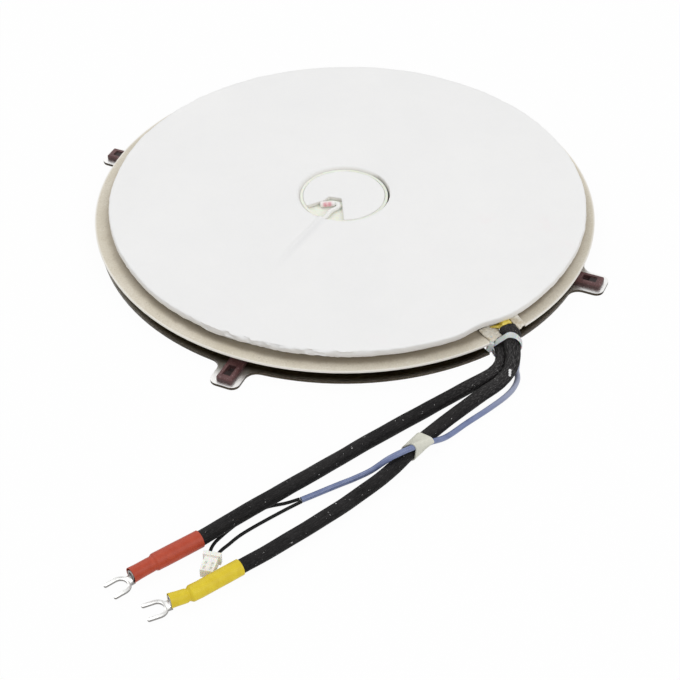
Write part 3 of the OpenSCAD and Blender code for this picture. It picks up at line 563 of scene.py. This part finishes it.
def unit(v):
    v = np.asarray(v, float)
    return v / np.maximum(np.linalg.norm(v, axis=-1, keepdims=True), 1e-12)


def wobble(points, scale, seed=0.0):
    """Smooth noise from -1 to 1 at points in mm, with features about scale mm wide."""
    shift = Vector((seed * 17.3, seed * 5.1, seed * 9.7))
    return np.array([noise.noise(Vector(p) / scale + shift) for p in np.asarray(points, float).reshape(-1, 3)])


def smooth_line(points, step):
    """A smooth line through the points (centripetal Catmull-Rom), with even steps."""
    p = np.asarray(points, float)
    p = np.vstack([2 * p[0] - p[1], p, 2 * p[-1] - p[-2]])
    fine = []
    for i in range(1, len(p) - 2):
        a, b, c, d = p[i - 1:i + 3]
        t = np.concatenate([[0], np.cumsum(np.sqrt(np.linalg.norm(np.diff(p[i - 1:i + 3], axis=0), axis=1)))])
        at = np.linspace(t[1], t[2], 24, endpoint=False)[:, None]
        a1 = (t[1] - at) / (t[1] - t[0]) * a + (at - t[0]) / (t[1] - t[0]) * b
        a2 = (t[2] - at) / (t[2] - t[1]) * b + (at - t[1]) / (t[2] - t[1]) * c
        a3 = (t[3] - at) / (t[3] - t[2]) * c + (at - t[2]) / (t[3] - t[2]) * d
        b1 = (t[2] - at) / (t[2] - t[0]) * a1 + (at - t[0]) / (t[2] - t[0]) * a2
        b2 = (t[3] - at) / (t[3] - t[1]) * a2 + (at - t[1]) / (t[3] - t[1]) * a3
        fine.append((t[2] - at) / (t[2] - t[1]) * b1 + (at - t[1]) / (t[2] - t[1]) * b2)
    fine = np.vstack(fine + [p[-2:-1]])
    along = np.concatenate([[0], np.cumsum(np.linalg.norm(np.diff(fine, axis=0), axis=1))])
    at = np.linspace(0, along[-1], max(2, int(round(along[-1] / step)) + 1))
    return np.stack([np.interp(at, along, fine[:, k]) for k in range(3)], axis=1)


def length_of(line):
    return float(np.linalg.norm(np.diff(line, axis=0), axis=1).sum())


def frames_of(line):
    """Unit vectors along, to the side of and above a line, without twist."""
    way = unit(np.gradient(line, axis=0))
    side = np.zeros_like(way)
    side[0] = unit(np.cross(way[0], (0, 0, 1)))
    for i in range(1, len(line)):
        side[i] = unit(side[i - 1] - (side[i - 1] @ way[i]) * way[i])
    return way, side, np.cross(side, way)


def grid_faces(rows, cols, closed_rows=False, closed_cols=True):
    """Faces of a grid of points, and the row and column of each corner before wrapping."""
    faces, corners = [], []
    for i in range(rows if closed_rows else rows - 1):
        for k in range(cols if closed_cols else cols - 1):
            square = [(i, k), (i, k + 1), (i + 1, k + 1), (i + 1, k)]
            faces.append([(a % rows) * cols + b % cols for a, b in square])
            corners.append(square)
    return faces, corners


def add_piece(name, verts, faces, slot, replaces=(), sharp=40, uvs=None, paint=None):
    """A mesh piece of the part. verts are in mm, and uvs hold a pair for each corner of each face."""
    mesh = bpy.data.meshes.new(name)
    mesh.from_pydata([tuple(v) for v in np.asarray(verts, float) * MM], [], [tuple(f) for f in faces])
    if uvs is not None:
        layer = mesh.uv_layers.new(name="UVMap")
        flat = [pair for face in uvs for pair in face]
        layer.data.foreach_set("uv", np.asarray(flat, np.float32).ravel())
    bm = bmesh.new()
    bm.from_mesh(mesh)
    bmesh.ops.recalc_face_normals(bm, faces=bm.faces)
    bm.to_mesh(mesh)
    bm.free()
    mesh.polygons.foreach_set("use_smooth", [True] * len(mesh.polygons))
    mesh.set_sharp_from_angle(angle=math.radians(sharp))
    mesh.materials.append(paint or PAINT[slot])
    obj = bpy.data.objects.new(name, mesh)
    bpy.context.scene.collection.objects.link(obj)
    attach(obj, "root")
    if replaces:
        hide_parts(*replaces)
    return obj


def tube(name, line, radius, slot, sides=24, replaces=(), bore=None, paint=None):
    """A tube along a line. radius(s, a) gives the distance from the line at s mm along it and at angle a, which is 0
    to the side and 90 degrees at the top. bore is the wall of an open tube, which then gets an inside as well."""
    way, side, up = frames_of(line)
    s = np.concatenate([[0], np.cumsum(np.linalg.norm(np.diff(line, axis=0), axis=1))])
    a = -math.pi / 2 + TAU * np.arange(sides) / sides
    r = np.broadcast_to(radius(s[:, None], a[None, :]), (len(s), sides))

    def rings(r):
        return (line[:, None] + r[..., None] * (np.cos(a)[None, :, None] * side[:, None]
                                                + np.sin(a)[None, :, None] * up[:, None])).reshape(-1, 3)
    verts, rows = rings(r), len(s)
    around = TAU * float(r.mean()) / sides
    if bore is None:
        faces, corners = grid_faces(rows, sides)
        uvs = [[(s[i], k * around) for i, k in square] for square in corners]
        ends = [list(range(sides))[::-1], [(rows - 1) * sides + k for k in range(sides)]]
        faces += ends
        uvs += [[(s[0], 0.0)] * sides, [(s[-1], 0.0)] * sides]
    else:
        inner = rings(r - bore).reshape(rows, sides, 3)[::-1].reshape(-1, 3)
        verts = np.vstack([verts, inner])
        both = np.concatenate([s, s[::-1]])
        faces, corners = grid_faces(2 * rows, sides, closed_rows=True)
        uvs = [[(both[i % (2 * rows)], k * around) for i, k in square] for square in corners]
    return add_piece(name, verts, faces, slot, replaces, uvs=uvs, paint=paint)


def rounded_copy(name, node, slot, width, segments=3, sharp=40):
    """A copy of a CAD node's shape with its edges rounded."""
    mesh = NODES[node].data.copy()
    mesh.name = name
    mesh.materials.clear()
    bm = bmesh.new()
    bm.from_mesh(mesh)
    bmesh.ops.remove_doubles(bm, verts=bm.verts, dist=1e-6)
    bmesh.ops.dissolve_limit(bm, angle_limit=math.radians(1), verts=bm.verts, edges=bm.edges)
    edges = [e for e in bm.edges if len(e.link_faces) == 2 and e.calc_face_angle(0) > math.radians(30)]
    bmesh.ops.bevel(bm, geom=edges, offset=width * MM, segments=segments, profile=0.5, affect="EDGES",
                    clamp_overlap=True)
    bm.to_mesh(mesh)
    bm.free()
    mesh.polygons.foreach_set("use_smooth", [True] * len(mesh.polygons))
    mesh.set_sharp_from_angle(angle=math.radians(sharp))
    mesh.materials.append(PAINT[slot])
    obj = bpy.data.objects.new(name, mesh)
    bpy.context.scene.collection.objects.link(obj)
    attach(obj, "root")
    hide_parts(node)
    return obj


# CAD nodes that stay

STAYS = {"carrier_plate": "aluminium_plate", "base_board": "mica_board", "winding": "litz_wire",
         "sensor_seat": "ivory_plastic", "temperature_sensor": "sensor_bead"}
STAYS.update({f"ferrite_bar_{i}": "ferrite" for i in range(1, 9)})
for node, slot in STAYS.items():
    NODES[node].data.materials.clear()
    NODES[node].data.materials.append(PAINT[slot])


# Moulded and stamped pieces, with the edges that the CAD leaves sharp rounded off
for number in range(1, 5):
    rounded_copy(f"block_body_{number}", f"ear_block_{number}", "maroon_plastic", 0.16)
rounded_copy("connector_body", "sensor_connector", "white_plastic", 0.14)
for colour in ("red", "yellow"):
    rounded_copy(f"fork_{colour}", f"fork_terminal_{colour}", "tinned_copper", 0.12)


# Soft pieces

def remeshed(node, voxel, passes):
    """A CAD node's shape with even faces and its edges worn round: points in mm, normals and faces."""
    obj = bpy.data.objects.new("remeshed", NODES[node].data.copy())
    bpy.context.scene.collection.objects.link(obj)
    remesh = obj.modifiers.new("remesh", "REMESH")
    remesh.mode = "VOXEL"
    remesh.voxel_size = voxel * MM
    smooth = obj.modifiers.new("smooth", "SMOOTH")
    smooth.iterations = passes
    mesh = bpy.data.meshes.new_from_object(obj.evaluated_get(bpy.context.evaluated_depsgraph_get()))
    bpy.data.objects.remove(obj)
    points, normals = np.empty(3 * len(mesh.vertices)), np.empty(3 * len(mesh.vertices))
    mesh.vertices.foreach_get("co", points)
    mesh.vertices.foreach_get("normal", normals)
    faces = [list(face.vertices) for face in mesh.polygons]
    bpy.data.meshes.remove(mesh)
    return points.reshape(-1, 3) / MM, normals.reshape(-1, 3), faces


def make_pad():
    """Felt pad that fills the seat up to its rim, cut away round the sensor."""
    points, normals, faces = remeshed("centre_pad", 0.4, 3)
    from_seat = points[:, :2] - np.array([0, 0.8])
    far = np.linalg.norm(from_seat, axis=1)
    reach = np.clip((far - 13) / 4, 0, 1)[:, None]
    points[:, :2] += unit(from_seat) * 0.88 * reach * reach * (3 - 2 * reach)
    points += normals * (0.07 * wobble(points, 7, 21) + 0.04 * wobble(points, 1.5, 22))[:, None]
    pad = add_piece("pad_felt", points, faces, "ceramic_fibre", ("centre_pad",), sharp=70)


def make_slab(name, top, under, slot, replaces=()):
    """A closed sheet from two grids of points, its top and its underside, joined round their edge."""
    rows, cols = top.shape[:2]
    count = rows * cols
    faces, _ = grid_faces(rows, cols, closed_cols=False)
    faces = faces + [[count + k for k in face] for face in faces]
    rim = ([k for k in range(cols)] + [i * cols + cols - 1 for i in range(1, rows)]
           + [(rows - 1) * cols + k for k in range(cols - 2, -1, -1)] + [i * cols for i in range(rows - 2, 0, -1)])
    faces += [[a, b, count + b, count + a] for a, b in zip(rim, rim[1:] + rim[:1])]
    return add_piece(name, np.vstack([top.reshape(-1, 3), under.reshape(-1, 3)]), faces, slot, replaces, sharp=60)


def tail_side(out):
    """Sideways place of the outer tail's middle."""
    return TAIL_ROOT[1] - (out - TAIL_ROOT[0]) * math.tan(TAIL_YAW)


def make_packing(name, near, far, low_side, high_side, heights, thick, seed, replaces=()):
    """Crumpled packing that comes from under the blanket and slopes down into the notch. heights are given at
    near, where it starts to fall, where it is down, and at far."""
    rows, cols = 44, 36
    f, g = np.meshgrid(np.linspace(0, 1, rows), np.linspace(0, 1, cols), indexing="ij")
    low_end, high_end = low_side(near + (far - near) * f), high_side(near + (far - near) * f)
    side = low_end + (high_end - low_end) * g
    plain = np.stack([near + (far - near) * f, side, np.zeros_like(f)], axis=2).reshape(-1, 3)
    ragged = (0.5 * wobble(plain, 1.6, seed) + 0.9 * wobble(plain, 3.5, seed + 1)).reshape(rows, cols)
    out = near + (far - near) * f + ragged * f ** 3
    z = np.interp(out, *heights)
    folds = np.sin(plain[:, 1] * 2.4 + 2.5 * wobble(plain, 2.5, seed + 2)).reshape(rows, cols)
    rough = wobble(plain, 0.8, seed + 3).reshape(rows, cols)
    z = z + 0.26 * folds * (0.3 + 0.7 * f) + 0.20 * rough
    edge = np.maximum(np.abs(2 * f - 1), np.abs(2 * g - 1))
    half = thick / 2 * np.sqrt(np.clip(1 - edge ** 10, 0.02, 1))
    c, s = math.cos(EXIT_ANGLE), math.sin(EXIT_ANGLE)
    grids = [np.stack([out * c - side * s, out * s + side * c, z + sign * half], axis=2) for sign in (1, -1)]
    make_slab(name, *grids, "cream_packing", replaces)


def squarish(half_w, half_h, a, power=4.0):
    """Distance to a rounded rectangle at angle a."""
    return (np.abs(np.cos(a) / half_w) ** power + np.abs(np.sin(a) / half_h) ** power) ** (-1 / power)


def make_exit_tape():
    """Yellow tape wound round the outer tail, with its loose end pinched together at one side."""
    start = [TAIL_ROOT[0] + 3.6 * math.cos(TAIL_YAW), TAIL_ROOT[1] - 3.6 * math.sin(TAIL_YAW)]
    line = smooth_line([exit_point(*start, TAIL_Z), exit_point(start[0] + 3, tail_side(start[0] + 3), TAIL_Z),
                        exit_point(TAIL_END[0] - 0.3, TAIL_END[1] + 0.1, TAIL_Z)], 0.2)

    def wrap(s, a):
        crease = 0.09 * np.sin(3.2 * s + 2 * np.sin(a * 2)) + 0.07 * np.sin(7 * a + 1.3 * s)
        return squarish(2.42, 2.02, a) + crease + 0.05
    tube("tape_wrap", line, wrap, "yellow_tape", 56, ("exit_tape",), bore=0.24)
    loose = smooth_line([exit_point(107.3, -1.6, 9.9), exit_point(105.7, -3.0, 9.8), exit_point(104.2, -4.4, 9.5),
                         exit_point(102.9, -5.8, 9.2)], 0.15)
    total = length_of(loose)

    def pinched(s, a):
        f = s / total
        crease = 0.12 * np.sin(6 * a + 3 * f) * (1 - f)
        return squarish(1.25 - 0.95 * f, 1.15 - 0.9 * f, a, 2.2) + crease
    tube("tape_end", loose, pinched, "yellow_tape", 40)


def hull_loop(gap, ra, rb, angles):
    """Outline round two circles, one about the origin and one about gap, at each angle of its normal."""
    ray = np.stack([np.cos(angles), np.sin(angles)], axis=1)
    support = np.maximum(ra, ray @ gap + rb)
    slope = np.gradient(np.concatenate([support[-2:], support, support[:2]]), angles[1])[2:-2]
    return ray, ray * support[:, None] + np.stack([-ray[:, 1], ray[:, 0]], axis=1) * slope[:, None]


def make_tie():
    """Cable tie: a strap drawn round both leads, and its head, a rounded box with a groove round it."""
    low, high = np.array(LEAD_1[3], float), np.array(LEAD_2[3], float)
    long = unit(high - low)
    heading = np.array([math.cos(math.radians(-108)), math.sin(math.radians(-108)), 0])
    along = unit(heading - (heading @ long) * long)
    across = np.cross(along, long)
    low = low + 1.2 * along
    angles = TAU * np.arange(120) / 120
    ray, loop = hull_loop(np.array([np.linalg.norm(high - low), 0.0]), 3.25, 3.15, angles)
    ring = TAU * np.arange(16) / 16
    reach = squarish(1.5, 0.36, ring, 6.0)
    strap = []
    for k in range(len(angles)):
        out = 0.4 + reach * np.sin(ring) * (1 + 0.10 * math.sin(40 * angles[k]))
        flat = loop[k] + out[:, None] * ray[k]
        strap.append(low + flat[:, :1] * long + flat[:, 1:] * across + (reach * np.cos(ring))[:, None] * along)
    faces, _ = grid_faces(len(angles), len(ring), closed_rows=True)
    verts = np.array(strap).reshape(-1, 3)
    # Head: a box with round edges and a groove round it where the slot's pawl sits
    turn = math.radians(112)
    outward = math.cos(turn) * long + math.sin(turn) * across
    round_way = -math.sin(turn) * long + math.cos(turn) * across
    rows, cols = 33, 48
    tilt = np.linspace(-math.pi / 2 + 0.02, math.pi / 2 - 0.02, rows)[:, None]
    spin = (TAU * np.arange(cols) / cols)[None, :]
    power = lambda v: np.sign(v) * np.abs(v) ** 0.28
    x, y = power(np.cos(tilt)) * power(np.cos(spin)), power(np.cos(tilt)) * power(np.sin(spin))
    z = power(np.sin(tilt)) * np.ones_like(spin)
    narrow = 1 - 0.10 * np.exp(-(z / 0.22) ** 2)
    centre = low + (3.25 + 0.35 + 1.1) * outward
    head = (centre + (1.1 * x * narrow)[..., None] * outward + (2.35 * y * narrow)[..., None] * round_way
            + (2.25 * z)[..., None] * along)
    head_faces, _ = grid_faces(rows, cols)
    head_faces += [list(range(cols)), [(rows - 1) * cols + k for k in range(cols)]]
    faces = faces + [[len(verts) + k for k in face] for face in head_faces]
    verts = np.vstack([verts, head.reshape(-1, 3)])
    # The tie sits slanted on the leads
    verts -= 0.36 * ((verts - low) @ across)[:, None] * along
    add_piece("tie_strap", verts, faces, "nylon", ("cable_tie",), sharp=50)


make_pad()
make_packing("packing_cloth", 100, 110.2, lambda out: np.maximum(tail_side(out) + 2.7, 3.2), lambda out: 7.7 + 0 * out,
             ([100, 103.4, 108.6, 112], [10.3, 10.2, 8.35, 8.2]), 0.9, 31, ("exit_packing",))
make_packing("packing_scrap", 101.5, 109.4, lambda out: -10.7 + 0 * out,
             lambda out: np.minimum(tail_side(out) - 2.8, np.interp(out, [104, 108], [-2.2, -4.8])),
             ([101.5, 104.5, 112], [9.0, 8.4, 8.2]), 0.6, 41)
make_exit_tape()
make_tie()


# Blanket

def make_blanket():
    """Felt disc: one closed profile from the hole over the top and back under it, turned round the disc."""
    turns = 540
    hole_r, hole_c = 20.55, np.array([-0.3, 0.95])
    outer_r, outer_c = 104.5, np.array([1.0, -1.0])
    thick = BLANKET_TOP - BLANKET_Z
    top = [(f, 1.0) for f in np.linspace(0.006, 0.993, 62)]
    under = [(f, 0.0) for f in np.linspace(0.99, 0.01, 22)]
    profile = ([(0.0, 0.1), (0.0, 0.5), (0.0, 0.85), (0.002, 0.97)] + top
               + [(0.9975, 0.96), (1.0, 0.82), (1.002, 0.6), (1.002, 0.4), (1.001, 0.2), (0.997, 0.05)] + under)
    share, height = np.array(profile).T
    a = TAU * np.arange(turns) / turns
    ring = np.stack([np.cos(a), np.sin(a)], axis=1)
    at_edge = np.column_stack([ring * 100, np.zeros(turns)])
    rim = outer_r + 0.30 * wobble(at_edge, 14, 1) + 0.12 * wobble(at_edge, 3.5, 2)
    # Beside the exit the edge is pulled in
    rim -= 1.9 * np.exp(-(((np.degrees(a) + 79.5 + 180) % 360 - 180) / 4.5) ** 2)
    torn = np.clip(1 - np.abs((np.degrees(a) - 232 + 180) % 360 - 180) / 24, 0, 1) ** 0.6
    inner = hole_r + 0.10 * wobble(at_edge, 9, 3)
    start = hole_c + ring * inner[:, None]
    # The hole's wall leans in to the seat, apart from an open gap at one side
    from_seat = start - np.array([0, 0.8])
    lean = np.clip(np.linalg.norm(from_seat, axis=1) - 19.52, 0, 2)
    open_side = np.clip((78 - np.abs((np.degrees(a) + 47 + 180) % 360 - 180)) / 16, 0, 1)
    lean = lean * (1 - open_side)
    end = outer_c + ring * rim[:, None]
    xy = start[:, None] + share[None, :, None] * (end - start)[:, None]
    z = BLANKET_Z + thick * np.broadcast_to(height, (turns, len(share)))
    points = np.concatenate([xy, z[..., None]], axis=2)
    down = np.clip((1.0 - height) / 0.5, 0, 1) * (share < 0.003)
    points[..., :2] -= (lean[:, None] * down[None, :])[..., None] * unit(from_seat)[:, None]
    flat = points.reshape(-1, 3)
    on_top = (height > 0.9) & (share > 0.001)
    relief = (0.10 * wobble(flat, 26, 4) + 0.05 * wobble(flat, 7, 5)).reshape(turns, -1)
    points[..., 2] += np.where(on_top, relief, 0)
    # The wall is cut by hand: its layers stand out by different amounts, most where it is torn
    wall = (share > 0.995) & (height < 0.97)
    layers = wobble(np.column_stack([flat[:, 0], flat[:, 1], flat[:, 2] * 4]), 4.0, 6).reshape(turns, -1)
    fine = wobble(np.column_stack([flat[:, 0], flat[:, 1], flat[:, 2] * 3]), 1.3, 7).reshape(turns, -1)
    out = (0.16 + 1.0 * torn[:, None]) * layers + (0.12 + 0.6 * torn[:, None]) * fine
    points[..., :2] += np.where(wall, out, 0)[..., None] * ring[:, None]
    # The sensor's lead lies in the groove underneath and lifts the felt a little
    c, s = math.cos(GROOVE_ANGLE), math.sin(GROOVE_ANGLE)
    along, across = points[..., 0] * c + points[..., 1] * s, points[..., 1] * c - points[..., 0] * s
    ridge = np.exp(-(across / 1.35) ** 2) * np.clip((60 - along) / 18, 0, 1) * (along > 0)
    points[..., 2] += np.where(on_top, 0.75 * ridge, 0)
    groove = (np.abs(across) < 1.9) & (along > 0) & (along < 101.5)
    low = (height < 0.5) & (share < 0.995)
    points[..., 2] = np.where(groove & low, BLANKET_Z + 2.2, points[..., 2])
    faces, _ = grid_faces(turns, len(share), closed_rows=True)
    blanket = add_piece("blanket_felt", points.reshape(-1, 3), faces, "ceramic_fibre", ("fibre_blanket",), sharp=60)


make_blanket()


# Heat shrink sleeves

def make_shrink(name, node, slot, route, yaw, body_r, nose_r, nose_l, wall, crease, seed):
    """Heat shrink sleeve: wide over the lead, then a step down to a nose over the terminal's barrel."""
    end, before = np.array(route[-1], float), np.array(route[-2], float)
    way = unit(end - before)
    start = before + 0.4 * way
    angle = math.atan2(way[1], way[0]) + math.radians(yaw)
    nose = np.array([math.cos(angle), math.sin(angle), 0])
    line = smooth_line([start, start + (end - start) * 0.5, end - 1.5 * way, end + 1.5 * nose, end + nose_l * nose], 0.25)
    total = length_of(line)
    step_at = total - nose_l

    def radius(s, a):
        fall = np.clip((s - step_at + 0.5) / 1.3, 0, 1)
        fall = fall * fall * (3 - 2 * fall)
        r = body_r + (nose_r - 0.12 - body_r) * fall
        r = r - crease * np.exp(-((s - step_at - 1.0) / 0.45) ** 2)
        r = r + 0.06 * np.exp(-((s - step_at + 1.4) / 1.2) ** 2) * np.cos(a)
        r = r + 0.02 * np.sin(s * 0.35 + seed) * np.cos(a * 2 + seed)
        r = r + 0.16 * np.clip(1 - (total - s) / 5, 0, 1) ** 2
        return r - 0.16 * np.clip(-np.sin(a), 0, 1) ** 2
    return tube(name, line, radius, slot, 44, (node,), bore=wall)


make_shrink("shrink_sleeve_red", "shrink_red", "red_shrink", LEAD_1, 2, 3.4, 3.0, 9.8, 0.3, 0.05, 1.0)
make_shrink("shrink_sleeve_yellow", "shrink_yellow", "yellow_shrink", LEAD_2, -13, 3.18, 2.78, 7.8, 0.25, 0.30, 2.0)


# Cords

def make_cord(name, route, diameter, slot, node, step, sides, shape=None, **facts):
    """A cord that follows its CAD route."""
    line = smooth_line(route, step)
    line[:, 2] = np.maximum(line[:, 2], diameter / 2)
    plain = lambda s, a: np.full((s.shape[0], a.shape[1]), diameter / 2)
    piece = tube(name, line, shape(line) if shape else plain, slot, sides, (node,))
    return line


def lead_shape(diameter, seed, mouth=0.0):
    """Sleeving that isn't quite round, with soft creases where the lead bends."""
    def shape(line):
        way = unit(np.gradient(line, axis=0))
        bend = np.linalg.norm(np.gradient(way, axis=0), axis=1) / np.linalg.norm(np.gradient(line, axis=0), axis=1)
        bend = np.convolve(bend, np.ones(9) / 9, mode="same")
        lumps = wobble(line, 11, seed)
        low = wobble(line, 30, seed + 3)

        def radius(s, a):
            r = diameter / 2 * (1 + 0.018 * lumps[:, None] + 0.02 * np.cos(2 * a + 2.5 * low[:, None]))
            crease = np.sin(s * 1.7 + 1.2 * np.cos(a)) * np.clip(bend[:, None] * 9, 0, 1)
            r = r * (1 - 0.022 * crease - 0.012 * np.cos(5 * a + s * 0.35))
            if mouth:
                flat = np.clip(1 - s / 22, 0, 1) ** 0.9
                r = r * (1 + flat * (mouth * np.cos(a) ** 2 - 0.16 * np.sin(a) ** 2))
            return r
        return radius
    return shape


lead_1_line = make_cord("lead_red", LEAD_1, 5.8, "black_sleeve", "power_lead_red", 0.9, 28, lead_shape(5.72, 11),
                        far_end="connector", stiffness="limp", with_pieces=["fork_red", "shrink_sleeve_red"])
lead_2_line = make_cord("lead_yellow", LEAD_2, 5.5, "black_sleeve", "power_lead_yellow", 0.9, 28,
                        lead_shape(5.42, 12, 0.36),
                        far_end="connector", stiffness="limp", with_pieces=["fork_yellow", "shrink_sleeve_yellow"])
make_cord("sensor_sleeve", SENSOR, 2.0, "white_sleeve", "sensor_lead", 0.5, 16, far_end="object", stiffness="limp")
cable_line = make_cord("cable_sleeve", CABLE, 2.3, "blue_sleeve", "sensor_cable_sleeve", 0.8, 20,
                       far_end="bare", stiffness="limp")
make_cord("wire_a", WIRE_1, 1.3, "black_wire", "sensor_wire_1", 0.6, 14,
          far_end="connector", stiffness="limp", with_pieces=["connector_body"])
make_cord("wire_b", WIRE_2, 1.3, "black_wire", "sensor_wire_2", 0.6, 14,
          far_end="connector", stiffness="limp", with_pieces=["connector_body"])


# Tape round lead 2 and the sensor cable

def make_band():
    """Wound tape: a hull round the lead and the cable, swept along the stretch where they touch."""
    a0, a1 = np.array(LEAD_2[10], float), np.array(LEAD_2[11], float)
    b0, b1 = np.array(CABLE[12], float), np.array(CABLE[13], float)
    sides, rows = 64, 22
    angles = TAU * np.arange(sides) / sides
    verts = []
    for wall in (0.62, 0.17):
        grid = []
        for f in np.linspace(0.1, 0.9, rows):
            a, b = a0 + (a1 - a0) * f, b0 + (b1 - b0) * f
            way = unit(a1 - a0)
            b = b - ((b - a) @ way) * way
            side = unit(np.cross((0, 0, 1), way))
            up = np.cross(way, side)
            gap = np.array([(b - a) @ side, (b - a) @ up])
            ra, rb = 2.75 + wall, 1.15 + wall
            flat = hull_loop(gap, ra, rb, angles)[1]
            ripple = 1 + 0.006 * np.sin(5 * angles + 9 * f) * (wall > 0.3)
            flat = flat * ripple[:, None]
            grid.append(a + flat[:, :1] * side + flat[:, 1:] * up)
        verts.append(np.array(grid))
    both = np.concatenate([verts[0], verts[1][::-1]])
    faces, _ = grid_faces(2 * rows, sides, closed_rows=True)
    add_piece("band_tape", both.reshape(-1, 3), faces, "pale_tape", ("tape_band",), sharp=50)


make_band()
